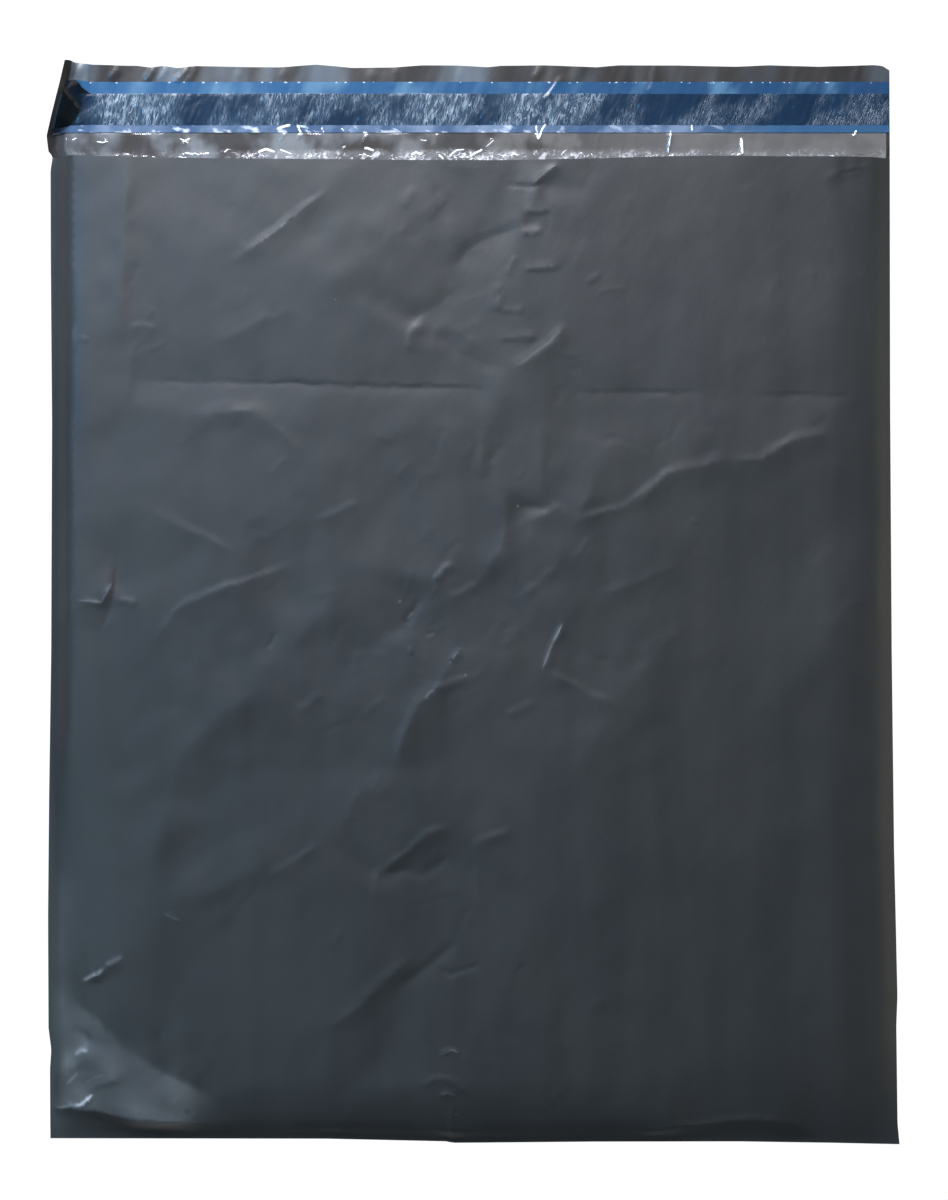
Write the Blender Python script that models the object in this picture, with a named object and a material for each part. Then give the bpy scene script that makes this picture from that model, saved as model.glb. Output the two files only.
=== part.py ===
"""A poly mailer: a film bag, folded at its bottom and welded at its sides, lying on its back.

The front panel faces up and stands a little off the back panel, so the pocket is open at the
mouth. The flap lies open beyond the mouth, towards +Y, with its left corner bent up. The
origin is on the surface that the bag lies on, under the middle of its outline.
"""

import math

import bmesh
import bpy
from mathutils import Vector
from mathutils.geometry import delaunay_2d_cdt

# Bag, in metres
WIDTH = 0.350
BODY_LENGTH = 0.409
FLAP_LENGTH = 0.0385
FILM = 0.0002
WELD = 0.0012
FOLD = 0.0010

# Front panel: how high it stands, the strips in which it rolls down to its edges, and where
# lines of facets run along those strips
PUFF = 0.0068
SIDE_ROLL = 0.0080
BOTTOM_ROLL = 0.0120
ROLL_SHARES = (0.5, 1)

# Creases of the front panel
RIDGE_HEIGHT = 0.0012
VALLEY_DEPTH = 0.0006
CREASE_REACH = 0.0180

# Bent corner of the flap: where its bend begins on the flap's end and above the mouth on the
# flap's side, and how it bends
CORNER_WIDTH = 0.0175
CORNER_START = 0.0030
CORNER_ANGLE = math.radians(65)
CORNER_RADIUS = 0.0045

# Layers on the flap, and the clearance between pieces that touch
GAP = 0.0003
ADHESIVE = 0.0002
ADHESIVE_WIDTH = 0.0133
ADHESIVE_INSET = 0.0010
LINER = 0.0002
LINER_START = 0.0110
LINER_INSET = 0.0005
LOWER_DRY_EDGE = 0.0030
UPPER_DRY_EDGE = 0.0050
STRIP = 0.0002
STRIP_INSET = 0.0045
STRIP_LAP = 0.0022
STRIP_TUCK = 0.0025

# Facets: spacing of the mesh points on the creased panel and on the flat faces, the share of
# it that they keep from a line, and the distance within which points count as one
PANEL_STEP = 0.0125
FLAT_STEP = 0.0450
BEND_FACETS = 5
CLEAR_SHARE = 0.45
NEAR = 1e-6

# Places that follow from the sizes
LEFT = -WIDTH / 2
RIGHT = WIDTH / 2
TOTAL_LENGTH = BODY_LENGTH + FLAP_LENGTH
BOTTOM = -TOTAL_LENGTH / 2
MOUTH = BOTTOM + BODY_LENGTH
FLAP_END = MOUTH + FLAP_LENGTH
POCKET_LOW = (LEFT + WELD, BOTTOM + FOLD)
POCKET_HIGH = (RIGHT - WELD, MOUTH)
CORNER_FOOT = Vector((LEFT, MOUTH + CORNER_START))
CORNER_HEAD = Vector((LEFT + CORNER_WIDTH, FLAP_END))
BEND_LENGTH = CORNER_RADIUS * CORNER_ANGLE

# Routes of the creases, as fractions of the panel: across from its middle line, and up from
# its bottom fold. The two long folds are where the bag was folded in its packet.
RIDGES = {
    "left_diagonal": [(-0.145, 0.607), (-0.261, 0.569), (-0.382, 0.500)],
    "centre_diagonal": [(0.039, 0.655), (0.001, 0.557), (-0.048, 0.450), (-0.115, 0.251)],
    "right_diagonal": [(0.380, 0.706), (0.310, 0.667), (0.200, 0.648)],
    "lower_diagonal": [(-0.033, 0.221), (-0.096, 0.177), (-0.204, 0.094)],
    "upper_left": [(-0.166, 0.969), (-0.268, 0.905), (-0.306, 0.881)],
    "upper_middle": [(0.113, 0.832), (0.045, 0.785)],
    "middle_spur": [(0.171, 0.438), (0.090, 0.480), (0.107, 0.529)],
    "corner_crumple": [(-0.440, 0.121), (-0.411, 0.091), (-0.409, 0.049)],
}
VALLEYS = {
    "cross_fold": [(-0.394, 0.771), (0.033, 0.766), (0.440, 0.759)],
    "upper_length_fold": [(0.075, 0.980), (0.045, 0.785), (0.030, 0.653)],
    "lower_length_fold": [(0.030, 0.653), (-0.002, 0.551), (-0.024, 0.045)],
    "side_fold": [(-0.399, 0.980), (-0.404, 0.927), (-0.416, 0.873)],
    "upper_fold": [(0.064, 0.936), (0.013, 0.917), (-0.019, 0.873), (-0.071, 0.836)],
}

COLOURS = {
    "bag_film": ((0.060, 0.070, 0.080), 0.42, 1.0),
    "adhesive_band": ((0.030, 0.055, 0.090), 0.25, 1.0),
    "release_liner": ((0.060, 0.230, 0.560), 0.20, 0.75),
    "clear_strip": ((0.450, 0.460, 0.470), 0.15, 0.45),
}


def clear_scene():
    """Removes the objects of the scene that the script starts in."""
    for item in list(bpy.data.objects):
        bpy.data.objects.remove(item, do_unlink=True)


def panel_point(across, up):
    """The place of a crease point that is given as fractions of the front panel."""
    return Vector((across * WIDTH, BOTTOM + up * BODY_LENGTH))


def evenly(start, end, step):
    """Points from start up to, but not at, end, no more than step apart."""
    start, end = Vector(start), Vector(end)
    count = max(1, math.ceil((end - start).length / step))
    return [start.lerp(end, i / count) for i in range(count)]


def line_points(corners, step):
    """Points along an open line through corners."""
    points = []
    for start, end in zip(corners, corners[1:]):
        points += evenly(start, end, step)
    return points + [Vector(corners[-1])]


def distance_to_line(point, line):
    """The distance from a point to an open line."""
    best = math.inf
    for start, end in zip(line, line[1:]):
        along = end - start
        share = (point - start).dot(along) / along.length_squared
        best = min(best, (point - start - along * min(1, max(0, share))).length)
    return best


CREASE_LINES = [
    (height, line_points([panel_point(*point) for point in route], PANEL_STEP))
    for height, routes in ((RIDGE_HEIGHT, RIDGES), (-VALLEY_DEPTH, VALLEYS))
    for route in routes.values()
]


def roll(distance, reach):
    """How far the panel has risen, from 0 at its edge to 1 where the roll ends."""
    share = min(1, max(0, distance / reach))
    return share * (2 - share)


def front_height(x, y):
    """The height of the front panel's upper face."""
    side = roll(min(x - POCKET_LOW[0], POCKET_HIGH[0] - x), SIDE_ROLL)
    end = roll(y - POCKET_LOW[1], BOTTOM_ROLL)
    crease = sum(
        height * max(0, 1 - distance_to_line(Vector((x, y)), line) / CREASE_REACH)
        for height, line in CREASE_LINES
    )
    crease = min(RIDGE_HEIGHT, max(-VALLEY_DEPTH, crease))
    return 2 * FILM + side * end * (PUFF - 2 * FILM + crease)


def corner_axes():
    """The direction of the line where the bend begins, and the one from it to the corner."""
    along = (CORNER_HEAD - CORNER_FOOT).normalized()
    return along, Vector((-along.y, along.x))


def bent(x, y, height):
    """A point of the flat bag, at a height over its back, with the flap's corner bent up."""
    along, out = corner_axes()
    offset = Vector((x, y)) - CORNER_FOOT
    past = offset.dot(out)
    if past <= 0 or y < MOUTH:
        return Vector((x, y, height))
    angle = min(past / CORNER_RADIUS, CORNER_ANGLE)
    straight = max(0, past - BEND_LENGTH)
    radius = CORNER_RADIUS - height
    reach = radius * math.sin(angle) + straight * math.cos(angle)
    place = CORNER_FOOT + along * offset.dot(along) + out * reach
    rise = CORNER_RADIUS - radius * math.cos(angle) + straight * math.sin(angle)
    return Vector((place.x, place.y, rise))


def bend_lines():
    """The lines across the flap where the facets of its bent corner meet."""
    along, out = corner_axes()
    overrun = along * FLAP_LENGTH
    lines = []
    for i in range(BEND_FACETS + 1):
        shift = out * (BEND_LENGTH * i / BEND_FACETS)
        lines.append([CORNER_FOOT + shift - overrun, CORNER_HEAD + shift + overrun])
    return lines


def bends_within(low, high):
    """The stretches of the bend lines that lie inside a box."""
    return [line for line in (clipped(bend, low, high) for bend in bend_lines()) if line]


def clipped(line, low, high):
    """The stretch of a straight line inside a box, or None."""
    start, along = line[0], line[1] - line[0]
    first, last = 0, 1
    for axis in range(2):
        if abs(along[axis]) < NEAR:
            continue
        ends = sorted((edge[axis] - start[axis]) / along[axis] for edge in (low, high))
        first, last = max(first, ends[0]), min(last, ends[1])
    return [start + along * first, start + along * last] if first < last else None


def triangulated(outline, lines, step):
    """Triangles over a box with this outline, which have every line among their edges."""
    points, edges = list(outline), []
    for line in lines:
        edges += [(len(points) + i, len(points) + i + 1) for i in range(len(line) - 1)]
        points += line
    low = [min(p[axis] for p in outline) for axis in range(2)]
    high = [max(p[axis] for p in outline) for axis in range(2)]
    drawn = [[*outline, outline[0]], *lines]
    row_height = step * math.sqrt(3) / 2
    rows = max(1, round((high[1] - low[1]) / row_height))
    columns = max(1, round((high[0] - low[0]) / step))
    for row in range(1, rows):
        y = low[1] + (high[1] - low[1]) * row / rows
        for column in range(columns):
            share = (column + 0.5 + (0.25 if row % 2 else -0.25)) / columns
            point = Vector((low[0] + (high[0] - low[0]) * share, y))
            if min(distance_to_line(point, line) for line in drawn) > CLEAR_SHARE * step:
                points.append(point)
    made = delaunay_2d_cdt(points, edges, [list(range(len(outline)))], 1, NEAR)
    return made[0], made[2]


def inside(triangle, points, low, high):
    """Whether the middle of a triangle lies in the box from low to high."""
    middle = sum((points[i] for i in triangle), Vector((0, 0))) / 3
    return low[0] < middle.x < high[0] and low[1] < middle.y < high[1]


def plan_key(point):
    """A key that is the same for points that lie at one place in the plan."""
    return round(point.x / NEAR), round(point.y / NEAR)


def border(triangles):
    """The edges that only one of the triangles has, in that triangle's direction."""
    edges = {(t[i], t[(i + 1) % 3]) for t in triangles for i in range(3)}
    return [(a, b) for a, b in edges if (b, a) not in edges]


class Skin:
    """The faces of a solid, built from levels: heights that are functions of the plan."""

    def __init__(self, levels):
        self.mesh = bmesh.new()
        self.levels = levels
        self.vertices = {}

    def vertex(self, level, point):
        """The vertex of a level at a place, which levels that meet there share."""
        height = self.levels[level](point.x, point.y)
        key = (*plan_key(point), round(height / NEAR))
        if key not in self.vertices:
            self.vertices[key] = self.mesh.verts.new(bent(point.x, point.y, height))
        return self.vertices[key]

    def face(self, corners):
        """A face through (level, point) corners, where corners at one place count once."""
        vertices = dict.fromkeys(self.vertex(level, point) for level, point in corners)
        if len(vertices) > 2:
            self.mesh.faces.new(vertices)

    def cover(self, level, points, triangles, up=True):
        """A face for each triangle, facing up or down."""
        for triangle in triangles:
            corners = [(level, points[i]) for i in triangle]
            self.face(corners if up else corners[::-1])

    def wall(self, lower, upper, points, edges):
        """A wall between two levels, facing out of an area that lies left of its edges."""
        for a, b in edges:
            start, end = points[a], points[b]
            self.face([(lower, start), (lower, end), (upper, end), (upper, start)])

    def finished(self, name):
        """The solid as an object of the scene, with its material."""
        bmesh.ops.triangulate(self.mesh, faces=self.mesh.faces[:])
        data = bpy.data.meshes.new(name)
        self.mesh.to_mesh(data)
        self.mesh.free()
        data.materials.append(material(name))
        part = bpy.data.objects.new(name, data)
        bpy.context.scene.collection.objects.link(part)
        return part


def material(name):
    """The piece's plain finish."""
    colour, roughness, alpha = COLOURS[name]
    made = bpy.data.materials.new(name)
    made.use_nodes = True
    shader = made.node_tree.nodes["Principled BSDF"]
    shader.inputs["Base Color"].default_value = (*colour, 1)
    shader.inputs["Roughness"].default_value = roughness
    shader.inputs["Alpha"].default_value = alpha
    return made


def corner_points(corners, step):
    """Points along an open line through corners that are given as pairs."""
    return line_points([Vector(corner) for corner in corners], step)


def body_edge():
    """The edge of the body: down the left weld, along the bottom fold and up the right weld."""
    corners = [(LEFT, MOUTH), (LEFT, BOTTOM), (RIGHT, BOTTOM), (RIGHT, MOUTH)]
    return corner_points(corners, PANEL_STEP)


def pocket_edge():
    """The line inside the body's edge where the back panel and the front panel part."""
    low, high = POCKET_LOW, POCKET_HIGH
    corners = [(low[0], high[1]), low, (high[0], low[1]), high]
    return corner_points(corners, PANEL_STEP)


def roll_line(share):
    """A line along the strips in which the front panel rolls down, at a share of their width."""
    side, end = share * SIDE_ROLL, share * BOTTOM_ROLL
    left, right, bottom = POCKET_LOW[0] + side, POCKET_HIGH[0] - side, POCKET_LOW[1] + end
    corners = [(left, MOUTH), (left, bottom), (right, bottom), (right, MOUTH)]
    return corner_points(corners, PANEL_STEP)


def add_back(skin):
    """The back panel and the flap: one sheet, with the bends of the flap's corner."""
    flap_corners = [(RIGHT, MOUTH), (RIGHT, FLAP_END), (LEFT, FLAP_END), (LEFT, MOUTH)]
    outline = body_edge() + corner_points(flap_corners, FLAT_STEP)[1:-1]
    pocket = pocket_edge()
    lines = [
        pocket,
        [outline[0], pocket[0]],
        line_points([pocket[0], pocket[-1]], FLAT_STEP),
        [pocket[-1], Vector((RIGHT, MOUTH))],
        *bends_within((LEFT, MOUTH), (RIGHT, FLAP_END)),
    ]
    points, triangles = triangulated(outline, lines, FLAT_STEP)
    inner = [
        t
        for t in triangles
        if inside(t, points, (LEFT, MOUTH), (RIGHT, FLAP_END))
        or inside(t, points, POCKET_LOW, POCKET_HIGH)
    ]
    skin.cover("under", points, triangles, up=False)
    skin.cover("floor", points, inner)
    skin.wall("under", "floor", points, border(triangles))


def add_front(skin):
    """The front panel, which meets the back panel at the welds and at the bottom fold."""
    roll_lines = [roll_line(share) for share in ROLL_SHARES]
    across = [LEFT, POCKET_LOW[0], *(line[0].x for line in roll_lines)]
    across += [-x for x in across[::-1]]
    mouth = corner_points([(x, MOUTH) for x in across], PANEL_STEP)
    creases = [line for _, line in CREASE_LINES]
    lines = [pocket_edge(), *roll_lines, *creases]
    points, triangles = triangulated(body_edge() + mouth[-2:0:-1], lines, PANEL_STEP)
    loose = [t for t in triangles if inside(t, points, POCKET_LOW, POCKET_HIGH)]
    skin.cover("top", points, triangles)
    skin.cover("ceiling", points, loose, up=False)

    edges = border(triangles)
    lips = [e for e in edges if min(points[e[0]].y, points[e[1]].y) > MOUTH - NEAR]
    open_lips = [e for e in lips if abs(points[e[0]].x + points[e[1]].x) < 2 * POCKET_HIGH[0]]
    skin.wall("ceiling", "top", points, open_lips)
    skin.wall("floor", "top", points, [e for e in edges if e not in open_lips])


def make_bag():
    """The one piece of film: back panel, flap, bottom fold and front panel."""
    parting = {plan_key(point) for point in pocket_edge()}

    def ceiling(x, y):
        return FILM if plan_key(Vector((x, y))) in parting else front_height(x, y) - FILM

    skin = Skin(
        {
            "under": lambda x, y: 0,
            "floor": lambda x, y: FILM,
            "ceiling": ceiling,
            "top": front_height,
        }
    )
    add_back(skin)
    add_front(skin)
    return skin.finished("bag_film")


def make_flap_layer(name, inset, start, end, lift, thickness):
    """A thin layer along the flap, from start to end above the mouth, bent with the flap."""
    low, high = (LEFT + inset, MOUTH + start), (RIGHT - inset, MOUTH + end)
    corners = [low, (high[0], low[1]), high, (low[0], high[1]), low]
    outline = corner_points(corners, FLAT_STEP)[:-1]
    points, triangles = triangulated(outline, bends_within(low, high), FLAT_STEP)
    skin = Skin({"lower": lambda x, y: lift, "upper": lambda x, y: lift + thickness})
    skin.cover("lower", points, triangles, up=False)
    skin.cover("upper", points, triangles)
    skin.wall("lower", "upper", points, border(triangles))
    return skin.finished(name)


def main():
    clear_scene()
    make_bag()
    adhesive_start = LINER_START + LOWER_DRY_EDGE
    adhesive_end = adhesive_start + ADHESIVE_WIDTH
    first_lift = FILM + GAP
    make_flap_layer(
        "adhesive_band", ADHESIVE_INSET, adhesive_start, adhesive_end, first_lift, ADHESIVE
    )
    make_flap_layer(
        "clear_strip", STRIP_INSET, -STRIP_TUCK, LINER_START + STRIP_LAP, first_lift, STRIP
    )
    liner_lift = first_lift + max(ADHESIVE, STRIP) + GAP
    liner_end = adhesive_end + UPPER_DRY_EDGE
    make_flap_layer("release_liner", LINER_INSET, LINER_START, liner_end, liner_lift, LINER)


main()
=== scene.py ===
"""The looks of the poly mailer: creased film, its flap with the blue liner, and the clear strip.

Everything is in metres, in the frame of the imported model: +X across the bag, +Y towards the
flap, +Z up. Creases are drawn where the photograph shows them, through the camera's scale.
"""

import math

import bmesh
import bpy
import numpy as np
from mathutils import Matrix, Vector
from mathutils import noise as gradient
from mathutils.geometry import delaunay_2d_cdt


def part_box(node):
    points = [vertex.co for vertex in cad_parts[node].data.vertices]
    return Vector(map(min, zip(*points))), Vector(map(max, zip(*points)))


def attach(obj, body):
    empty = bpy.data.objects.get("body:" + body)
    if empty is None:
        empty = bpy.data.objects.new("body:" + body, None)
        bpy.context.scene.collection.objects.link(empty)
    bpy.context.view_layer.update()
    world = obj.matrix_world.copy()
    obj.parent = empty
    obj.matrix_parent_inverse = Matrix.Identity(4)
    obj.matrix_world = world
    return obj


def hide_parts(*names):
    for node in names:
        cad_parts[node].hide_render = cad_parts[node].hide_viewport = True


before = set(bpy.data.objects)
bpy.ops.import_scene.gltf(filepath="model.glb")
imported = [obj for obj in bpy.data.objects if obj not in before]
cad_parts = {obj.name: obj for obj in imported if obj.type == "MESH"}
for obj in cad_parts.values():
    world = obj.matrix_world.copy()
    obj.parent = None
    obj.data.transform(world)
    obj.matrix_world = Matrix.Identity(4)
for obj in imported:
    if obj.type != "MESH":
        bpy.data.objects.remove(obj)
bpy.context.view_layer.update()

MM = 0.001

# Camera: looks down on the bag, a little from its bottom end
CAMERA_HEIGHT = 1.0
CAMERA_TILT = math.radians(1.5)
CAMERA_SHIFT = 0.0007
FRAME_PX = (948, 1200)
PIXEL = 0.4152 * MM
CENTRE_PX = (474, 602)
SENSOR = 36.0

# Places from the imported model
BAG_LOW, BAG_HIGH = (Vector(corner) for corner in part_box("bag_film"))
LINER_LOW = Vector(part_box("release_liner")[0])
STRIP_LOW, STRIP_HIGH = (Vector(corner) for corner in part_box("clear_strip"))
BAND_LOW, BAND_HIGH = (Vector(corner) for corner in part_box("adhesive_band"))
STRIP_TUCK = 2.5 * MM
MOUTH = STRIP_LOW.y + STRIP_TUCK
LEFT, RIGHT = BAG_LOW.x, BAG_HIGH.x
BOTTOM, FLAP_END = BAG_LOW.y, BAG_HIGH.y
ADHESIVE_END = BAND_LOW.y + 13.3 * MM
LINER_END = ADHESIVE_END + 5.0 * MM
STRIP_END = LINER_LOW.y + 2.2 * MM
STRIP_LEFT, STRIP_RIGHT = STRIP_LOW.x + 2.8 * MM, STRIP_HIGH.x + 2.1 * MM
LINER_LEFT, LINER_RIGHT = LEFT + 2.5 * MM, RIGHT - 1.3 * MM

# Corners of the body and of the flap
BODY = (LEFT, BOTTOM), (RIGHT, MOUTH)
FLAP = (LEFT, MOUTH), (RIGHT, FLAP_END)

# Film and how the bag stands
FILM = 0.2 * MM
ADHESIVE = 0.15 * MM
SKIN = 0.08 * MM
GAP = 0.12 * MM
WELD = 1.2 * MM
PUFF = 6.6 * MM
SIDE_ROLL = 7.6 * MM
RIGHT_ROLL = 6.5 * MM
BOTTOM_REACH = 12.0 * MM
FACET_SLOPE = 0.50
RIGHT_SLOPE = 0.25
RIGHT_SLOW = 22 * MM
MOST_OF_RISE = 0.75
CEILING_DROP = 0.9 * MM

# The fine creases have their full height once the panel has risen by 1 / FINE_RISE of its puff
FINE_RISE = 2.5

# The angle from which an edge of the film looks sharp
SHARP_ANGLE = math.radians(55)

# The painted highlights go only above this height, which spares the back panel
ABOVE_BACK = 2.05 * FILM

# Spacing of mesh points
FINE = 1.05 * MM
PLAIN = 2.7 * MM
EDGE_STEP = 2.0 * MM
MOUTH_STEP = 1.1 * MM
FLAP_STEP = 1.3 * MM
BACK_STEP = 5.0 * MM
BACK_FINE = BACK_STEP / 2.4
BACK_ROOM = BACK_STEP / 3.2
CREASE_STEP = 1.3 * MM
CEILING_STEP = 8.0 * MM
ROLL_STEP = 2.4 * MM
ROLL_SHARES = (0.12, 0.3, 0.6, 1.0)
FINE_REACH = 4.5 * MM
SLOPE_STEP = 0.4 * MM
NEAR = 2e-6

# How close mesh points come to fixed ones, and how close their rows lie, as shares of a step
ROOM = 0.6
PLAIN_ROOM = 0.55
ROW_SHARE = 0.866

# The mesh attribute that holds where a point lies on the flat film
FLAT = "flat_place"

# The mesh attribute that holds how strong the painted highlight or glint is at a point
HIGHLIGHT_ATTRIBUTE = "painted_highlight"

# Colours of the film: its two tones outside and inside, the painted sheen inside, the painted
# highlights outside, its dust and the painted shade of its seam strip
OUTER_TONES = (0.018, 0.021, 0.023), (0.022, 0.025, 0.026)
INNER_TONES = (0.022, 0.021, 0.021), (0.034, 0.033, 0.032)
PAINTED_SHEEN = (0.105, 0.132, 0.158)
PAINTED_HIGHLIGHT = (0.45, 0.50, 0.53)
DUST = (0.35, 0.36, 0.37)
SEAM_SHADE = (0.008, 0.007, 0.007)
OUTER_ROUGHNESS = 0.50
INNER_ROUGHNESS = 0.27

# Lamps around the bag: (name, place, width, power, tint)
LAMPS = [
    ("window", (-0.21, 0.86, 0.76), 0.48, 24.2, (0.96, 0.95, 1.0)),
    ("sky", (-0.70, -0.42, 1.15), 0.40, 3.1, (0.62, 0.90, 1.0)),
    ("pane", (-0.82, 0.52, 1.30), 0.18, 7.6, (0.12, 0.50, 1.0)),
    ("wall", (1.50, -0.10, 0.60), 0.80, 4.0, (1.0, 0.90, 0.72)),
]
ROOM_TINT = (1.0, 0.82, 0.66, 1)
ROOM_STRENGTH = 0.04
FLOOR_SIZE = 12
FLOOR_DROP = 0.05 * MM

# How far apart the layers of noise lie, and what brings noise to about -1 to 1
SEED_STEP = 7.31
NOISE_GAIN = 1.6

# The side of a crease that faces the light
TO_LIGHT = np.array([-0.45, 0.89])

# How far the edges wander from a straight outline, in millimetres: (along, out)
LEFT_EDGE = [(-224, -0.9), (-193, -0.6), (-185, -1.1), (-176, 0.1), (-130, 0.5), (-82, 0.3),
             (-20, -0.3), (75, -0.2), (140, 0.6), (180, 0.9), (186, 0)]
RIGHT_EDGE = [(-224, 1.3), (-215, 0.5), (-175, 0.2), (-163, 0.7), (-134, 0.2), (-103, -0.4),
              (-20, -1.0), (84, -1.2), (185, -0.9), (224, -0.9)]
BOTTOM_EDGE = [(-176, -2.4), (-60, -2.2), (-9.6, -1.1), (-8.6, -0.5), (50, -1.0), (110, -1.1),
               (150, -0.5), (177, 0.1)]
MOUTH_EDGE = [(-176, 0.4), (-155, -0.6), (-93, -1.6), (5, -2.2), (45, -1.7), (69, -0.9),
              (94, -0.3), (130, -0.7), (171, -0.5), (176, -0.4)]
FLAP_EDGE = [(-175, 0), (-150, 0.3), (-140, 0.2), (-134, -0.6), (-129, 0.2), (-123, -0.8),
             (-115, 0.1), (-96, -0.3), (-81, -0.5), (-65, 0.7), (-50, -0.7), (-33, -0.5),
             (-21, 0.4), (-6, 0.3), (6, -0.4), (12, 0.2), (30, 0.4), (52, -0.4), (61, 0.4),
             (86, 0.3), (110, -0.2), (124, 0.4), (145, -0.2), (168, 0.5), (172, 0.1),
             (176, -2.4)]

# How wide the folded-down band along the bottom is, in millimetres: (along, width)
BOTTOM_BAND = [(-176, 13.5), (-160, 14), (-147, 10.5), (-130, 8.5), (-103, 5.6), (-60, 5.2),
               (70, 4.2), (90, 7), (117, 9.5), (130, 8), (142, 3.2), (177, 3.2)]

# How steep that band is, and how far the panel goes on rising past it: (along, slope or reach)
BAND_SLOPE = [(-176, 0.10), (-140, 0.16), (-95, 0.30), (80, 0.30), (95, 0.24), (130, 0.24),
              (142, 0.06), (177, 0.06)]
BAND_SLOW = [(-176, 16), (-115, 14), (-85, 22), (80, 22), (95, 44), (130, 44), (142, 50), (177, 60)]

# The pixels of a line that the bottom left corner sags behind, how much of its height it loses,
# and how far beyond the line the sag fades
CORNER_FOLD = ((95, 1021), (185, 1086))
CORNER_SAG = 0.28
CORNER_SOFT = 30 * MM

# Creases of the front panel, by their pixels in the photograph: (height, width of the side
# that faces the light, width of the other side, route), with the sizes in millimetres
FOLDS = [
    (-0.14, 1.6, 2.2, [(134, 382), (220, 382), (301, 383), (340, 385)]),
    (-0.26, 1.2, 5.0, [(270, 382), (301, 383), (350, 386), (493, 388)]),
    (-0.20, 1.2, 4.0, [(573, 392), (640, 392), (702, 392)]),
    (-0.18, 1.2, 4.0, [(751, 395), (796, 394), (860, 396)]),
    (0.45, 10.0, 5.5, [(127, 160), (126, 230), (122, 287), (125, 330)]),
    (0.15, 3.0, 4.0, [(132, 344), (129, 405)]),
]
UPPER_CREASES = [
    (0.42, 3.0, 9.0, [(230, 262), (261, 242), (295, 215), (330, 189)]),
    (0.28, 2.0, 5.0, [(128, 327), (143, 325), (157, 329)]),
    (0.22, 1.5, 4.0, [(80, 335), (88, 341)]),
    (0.30, 8.0, 10.0, [(214, 344), (245, 330), (275, 313)]),
    (0.46, 3.0, 4.0, [(556, 160), (545, 174), (531, 186)]),
    (-0.26, 1.4, 1.8, [(505, 184), (528, 187), (547, 182)]),
    (0.34, 5.0, 1.6, [(524, 211), (538, 213), (549, 208)]),
    (0.34, 4.5, 2.0, [(520, 233), (533, 233), (543, 230)]),
    (-0.34, 4.0, 11.0, [(528, 224), (487, 238), (465, 252), (455, 268)]),
    (0.30, 5.5, 1.8, [(522, 269), (545, 268), (561, 267)]),
    (0.24, 1.6, 3.0, [(507, 276), (514, 256)]),
    (0.25, 5.0, 3.0, [(499, 281), (499, 312)]),
    (0.18, 4.0, 2.0, [(499, 311), (524, 312)]),
    (0.26, 6.0, 2.4, [(497, 338), (520, 338), (540, 337)]),
    (-0.32, 4.0, 10.0, [(456, 290), (438, 305), (418, 318), (411, 326)]),
    (0.30, 2.0, 6.0, [(419, 322), (411, 333), (408, 352)]),
    (-0.26, 6.0, 5.0, [(430, 330), (456, 350), (485, 364), (508, 369)]),
    (0.38, 4.0, 6.0, [(509, 370), (536, 357), (552, 343), (567, 323)]),
    (0.32, 2.5, 5.0, [(820, 181), (855, 167), (880, 161)]),
    (-0.25, 2.0, 2.0, [(838, 175), (862, 166)]),
    (0.25, 2.0, 3.0, [(861, 272), (872, 283)]),
    (0.25, 2.0, 4.0, [(867, 305), (875, 334)]),
]
MIDDLE_CREASES = [
    (0.40, 5.0, 8.0, [(193, 416), (254, 410), (275, 427), (301, 451)]),
    (0.36, 4.0, 7.0, [(152, 510), (173, 524), (206, 537), (234, 555)]),
    (0.32, 3.0, 5.0, [(316, 522), (350, 506), (361, 504)]),
    (0.42, 3.0, 8.0, [(152, 643), (180, 607), (214, 592), (252, 580), (299, 561)]),
    (0.48, 2.0, 3.0, [(80, 599), (101, 604), (112, 584)]),
    (0.32, 2.0, 3.0, [(118, 601), (138, 604)]),
    (-0.30, 2.0, 2.0, [(116, 557), (114, 596), (105, 620), (99, 629)]),
    (-0.28, 2.0, 2.0, [(277, 631), (267, 649)]),
    (0.25, 4.0, 4.0, [(483, 430), (483, 480)]),
    (0.35, 8.0, 8.0, [(541, 420), (541, 500)]),
    (-0.20, 1.4, 3.0, [(519, 506), (550, 507)]),
    (0.55, 8.0, 8.0, [(507, 492), (504, 543), (485, 573), (473, 596)]),
    (0.22, 5.0, 5.0, [(526, 522), (546, 513), (565, 504)]),
    (0.42, 2.0, 4.0, [(432, 582), (444, 569), (456, 563)]),
    (0.32, 3.0, 5.0, [(446, 600), (481, 584)]),
    (-0.32, 2.5, 2.5, [(420, 598), (405, 627)]),
    (0.28, 2.5, 4.0, [(557, 567), (524, 596)]),
    (0.55, 1.8, 4.0, [(564, 622), (552, 645), (544, 670)]),
    (0.38, 3.0, 6.0, [(650, 486), (626, 506), (571, 522)]),
    (0.55, 4.0, 9.0, [(635, 506), (651, 490), (665, 475), (686, 470), (731, 459)]),
    (0.55, 4.0, 9.0, [(731, 459), (763, 459), (790, 441), (835, 433)]),
    (0.32, 5.0, 8.0, [(600, 596), (641, 580), (682, 563)]),
    (0.18, 1.6, 2.0, [(688, 522), (700, 522)]),
    (0.32, 2.0, 3.5, [(459, 649), (450, 663)]),
    (-0.20, 1.6, 1.6, [(424, 634), (436, 634)]),
    (0.25, 1.8, 2.0, [(409, 646), (411, 656)]),
]
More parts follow.
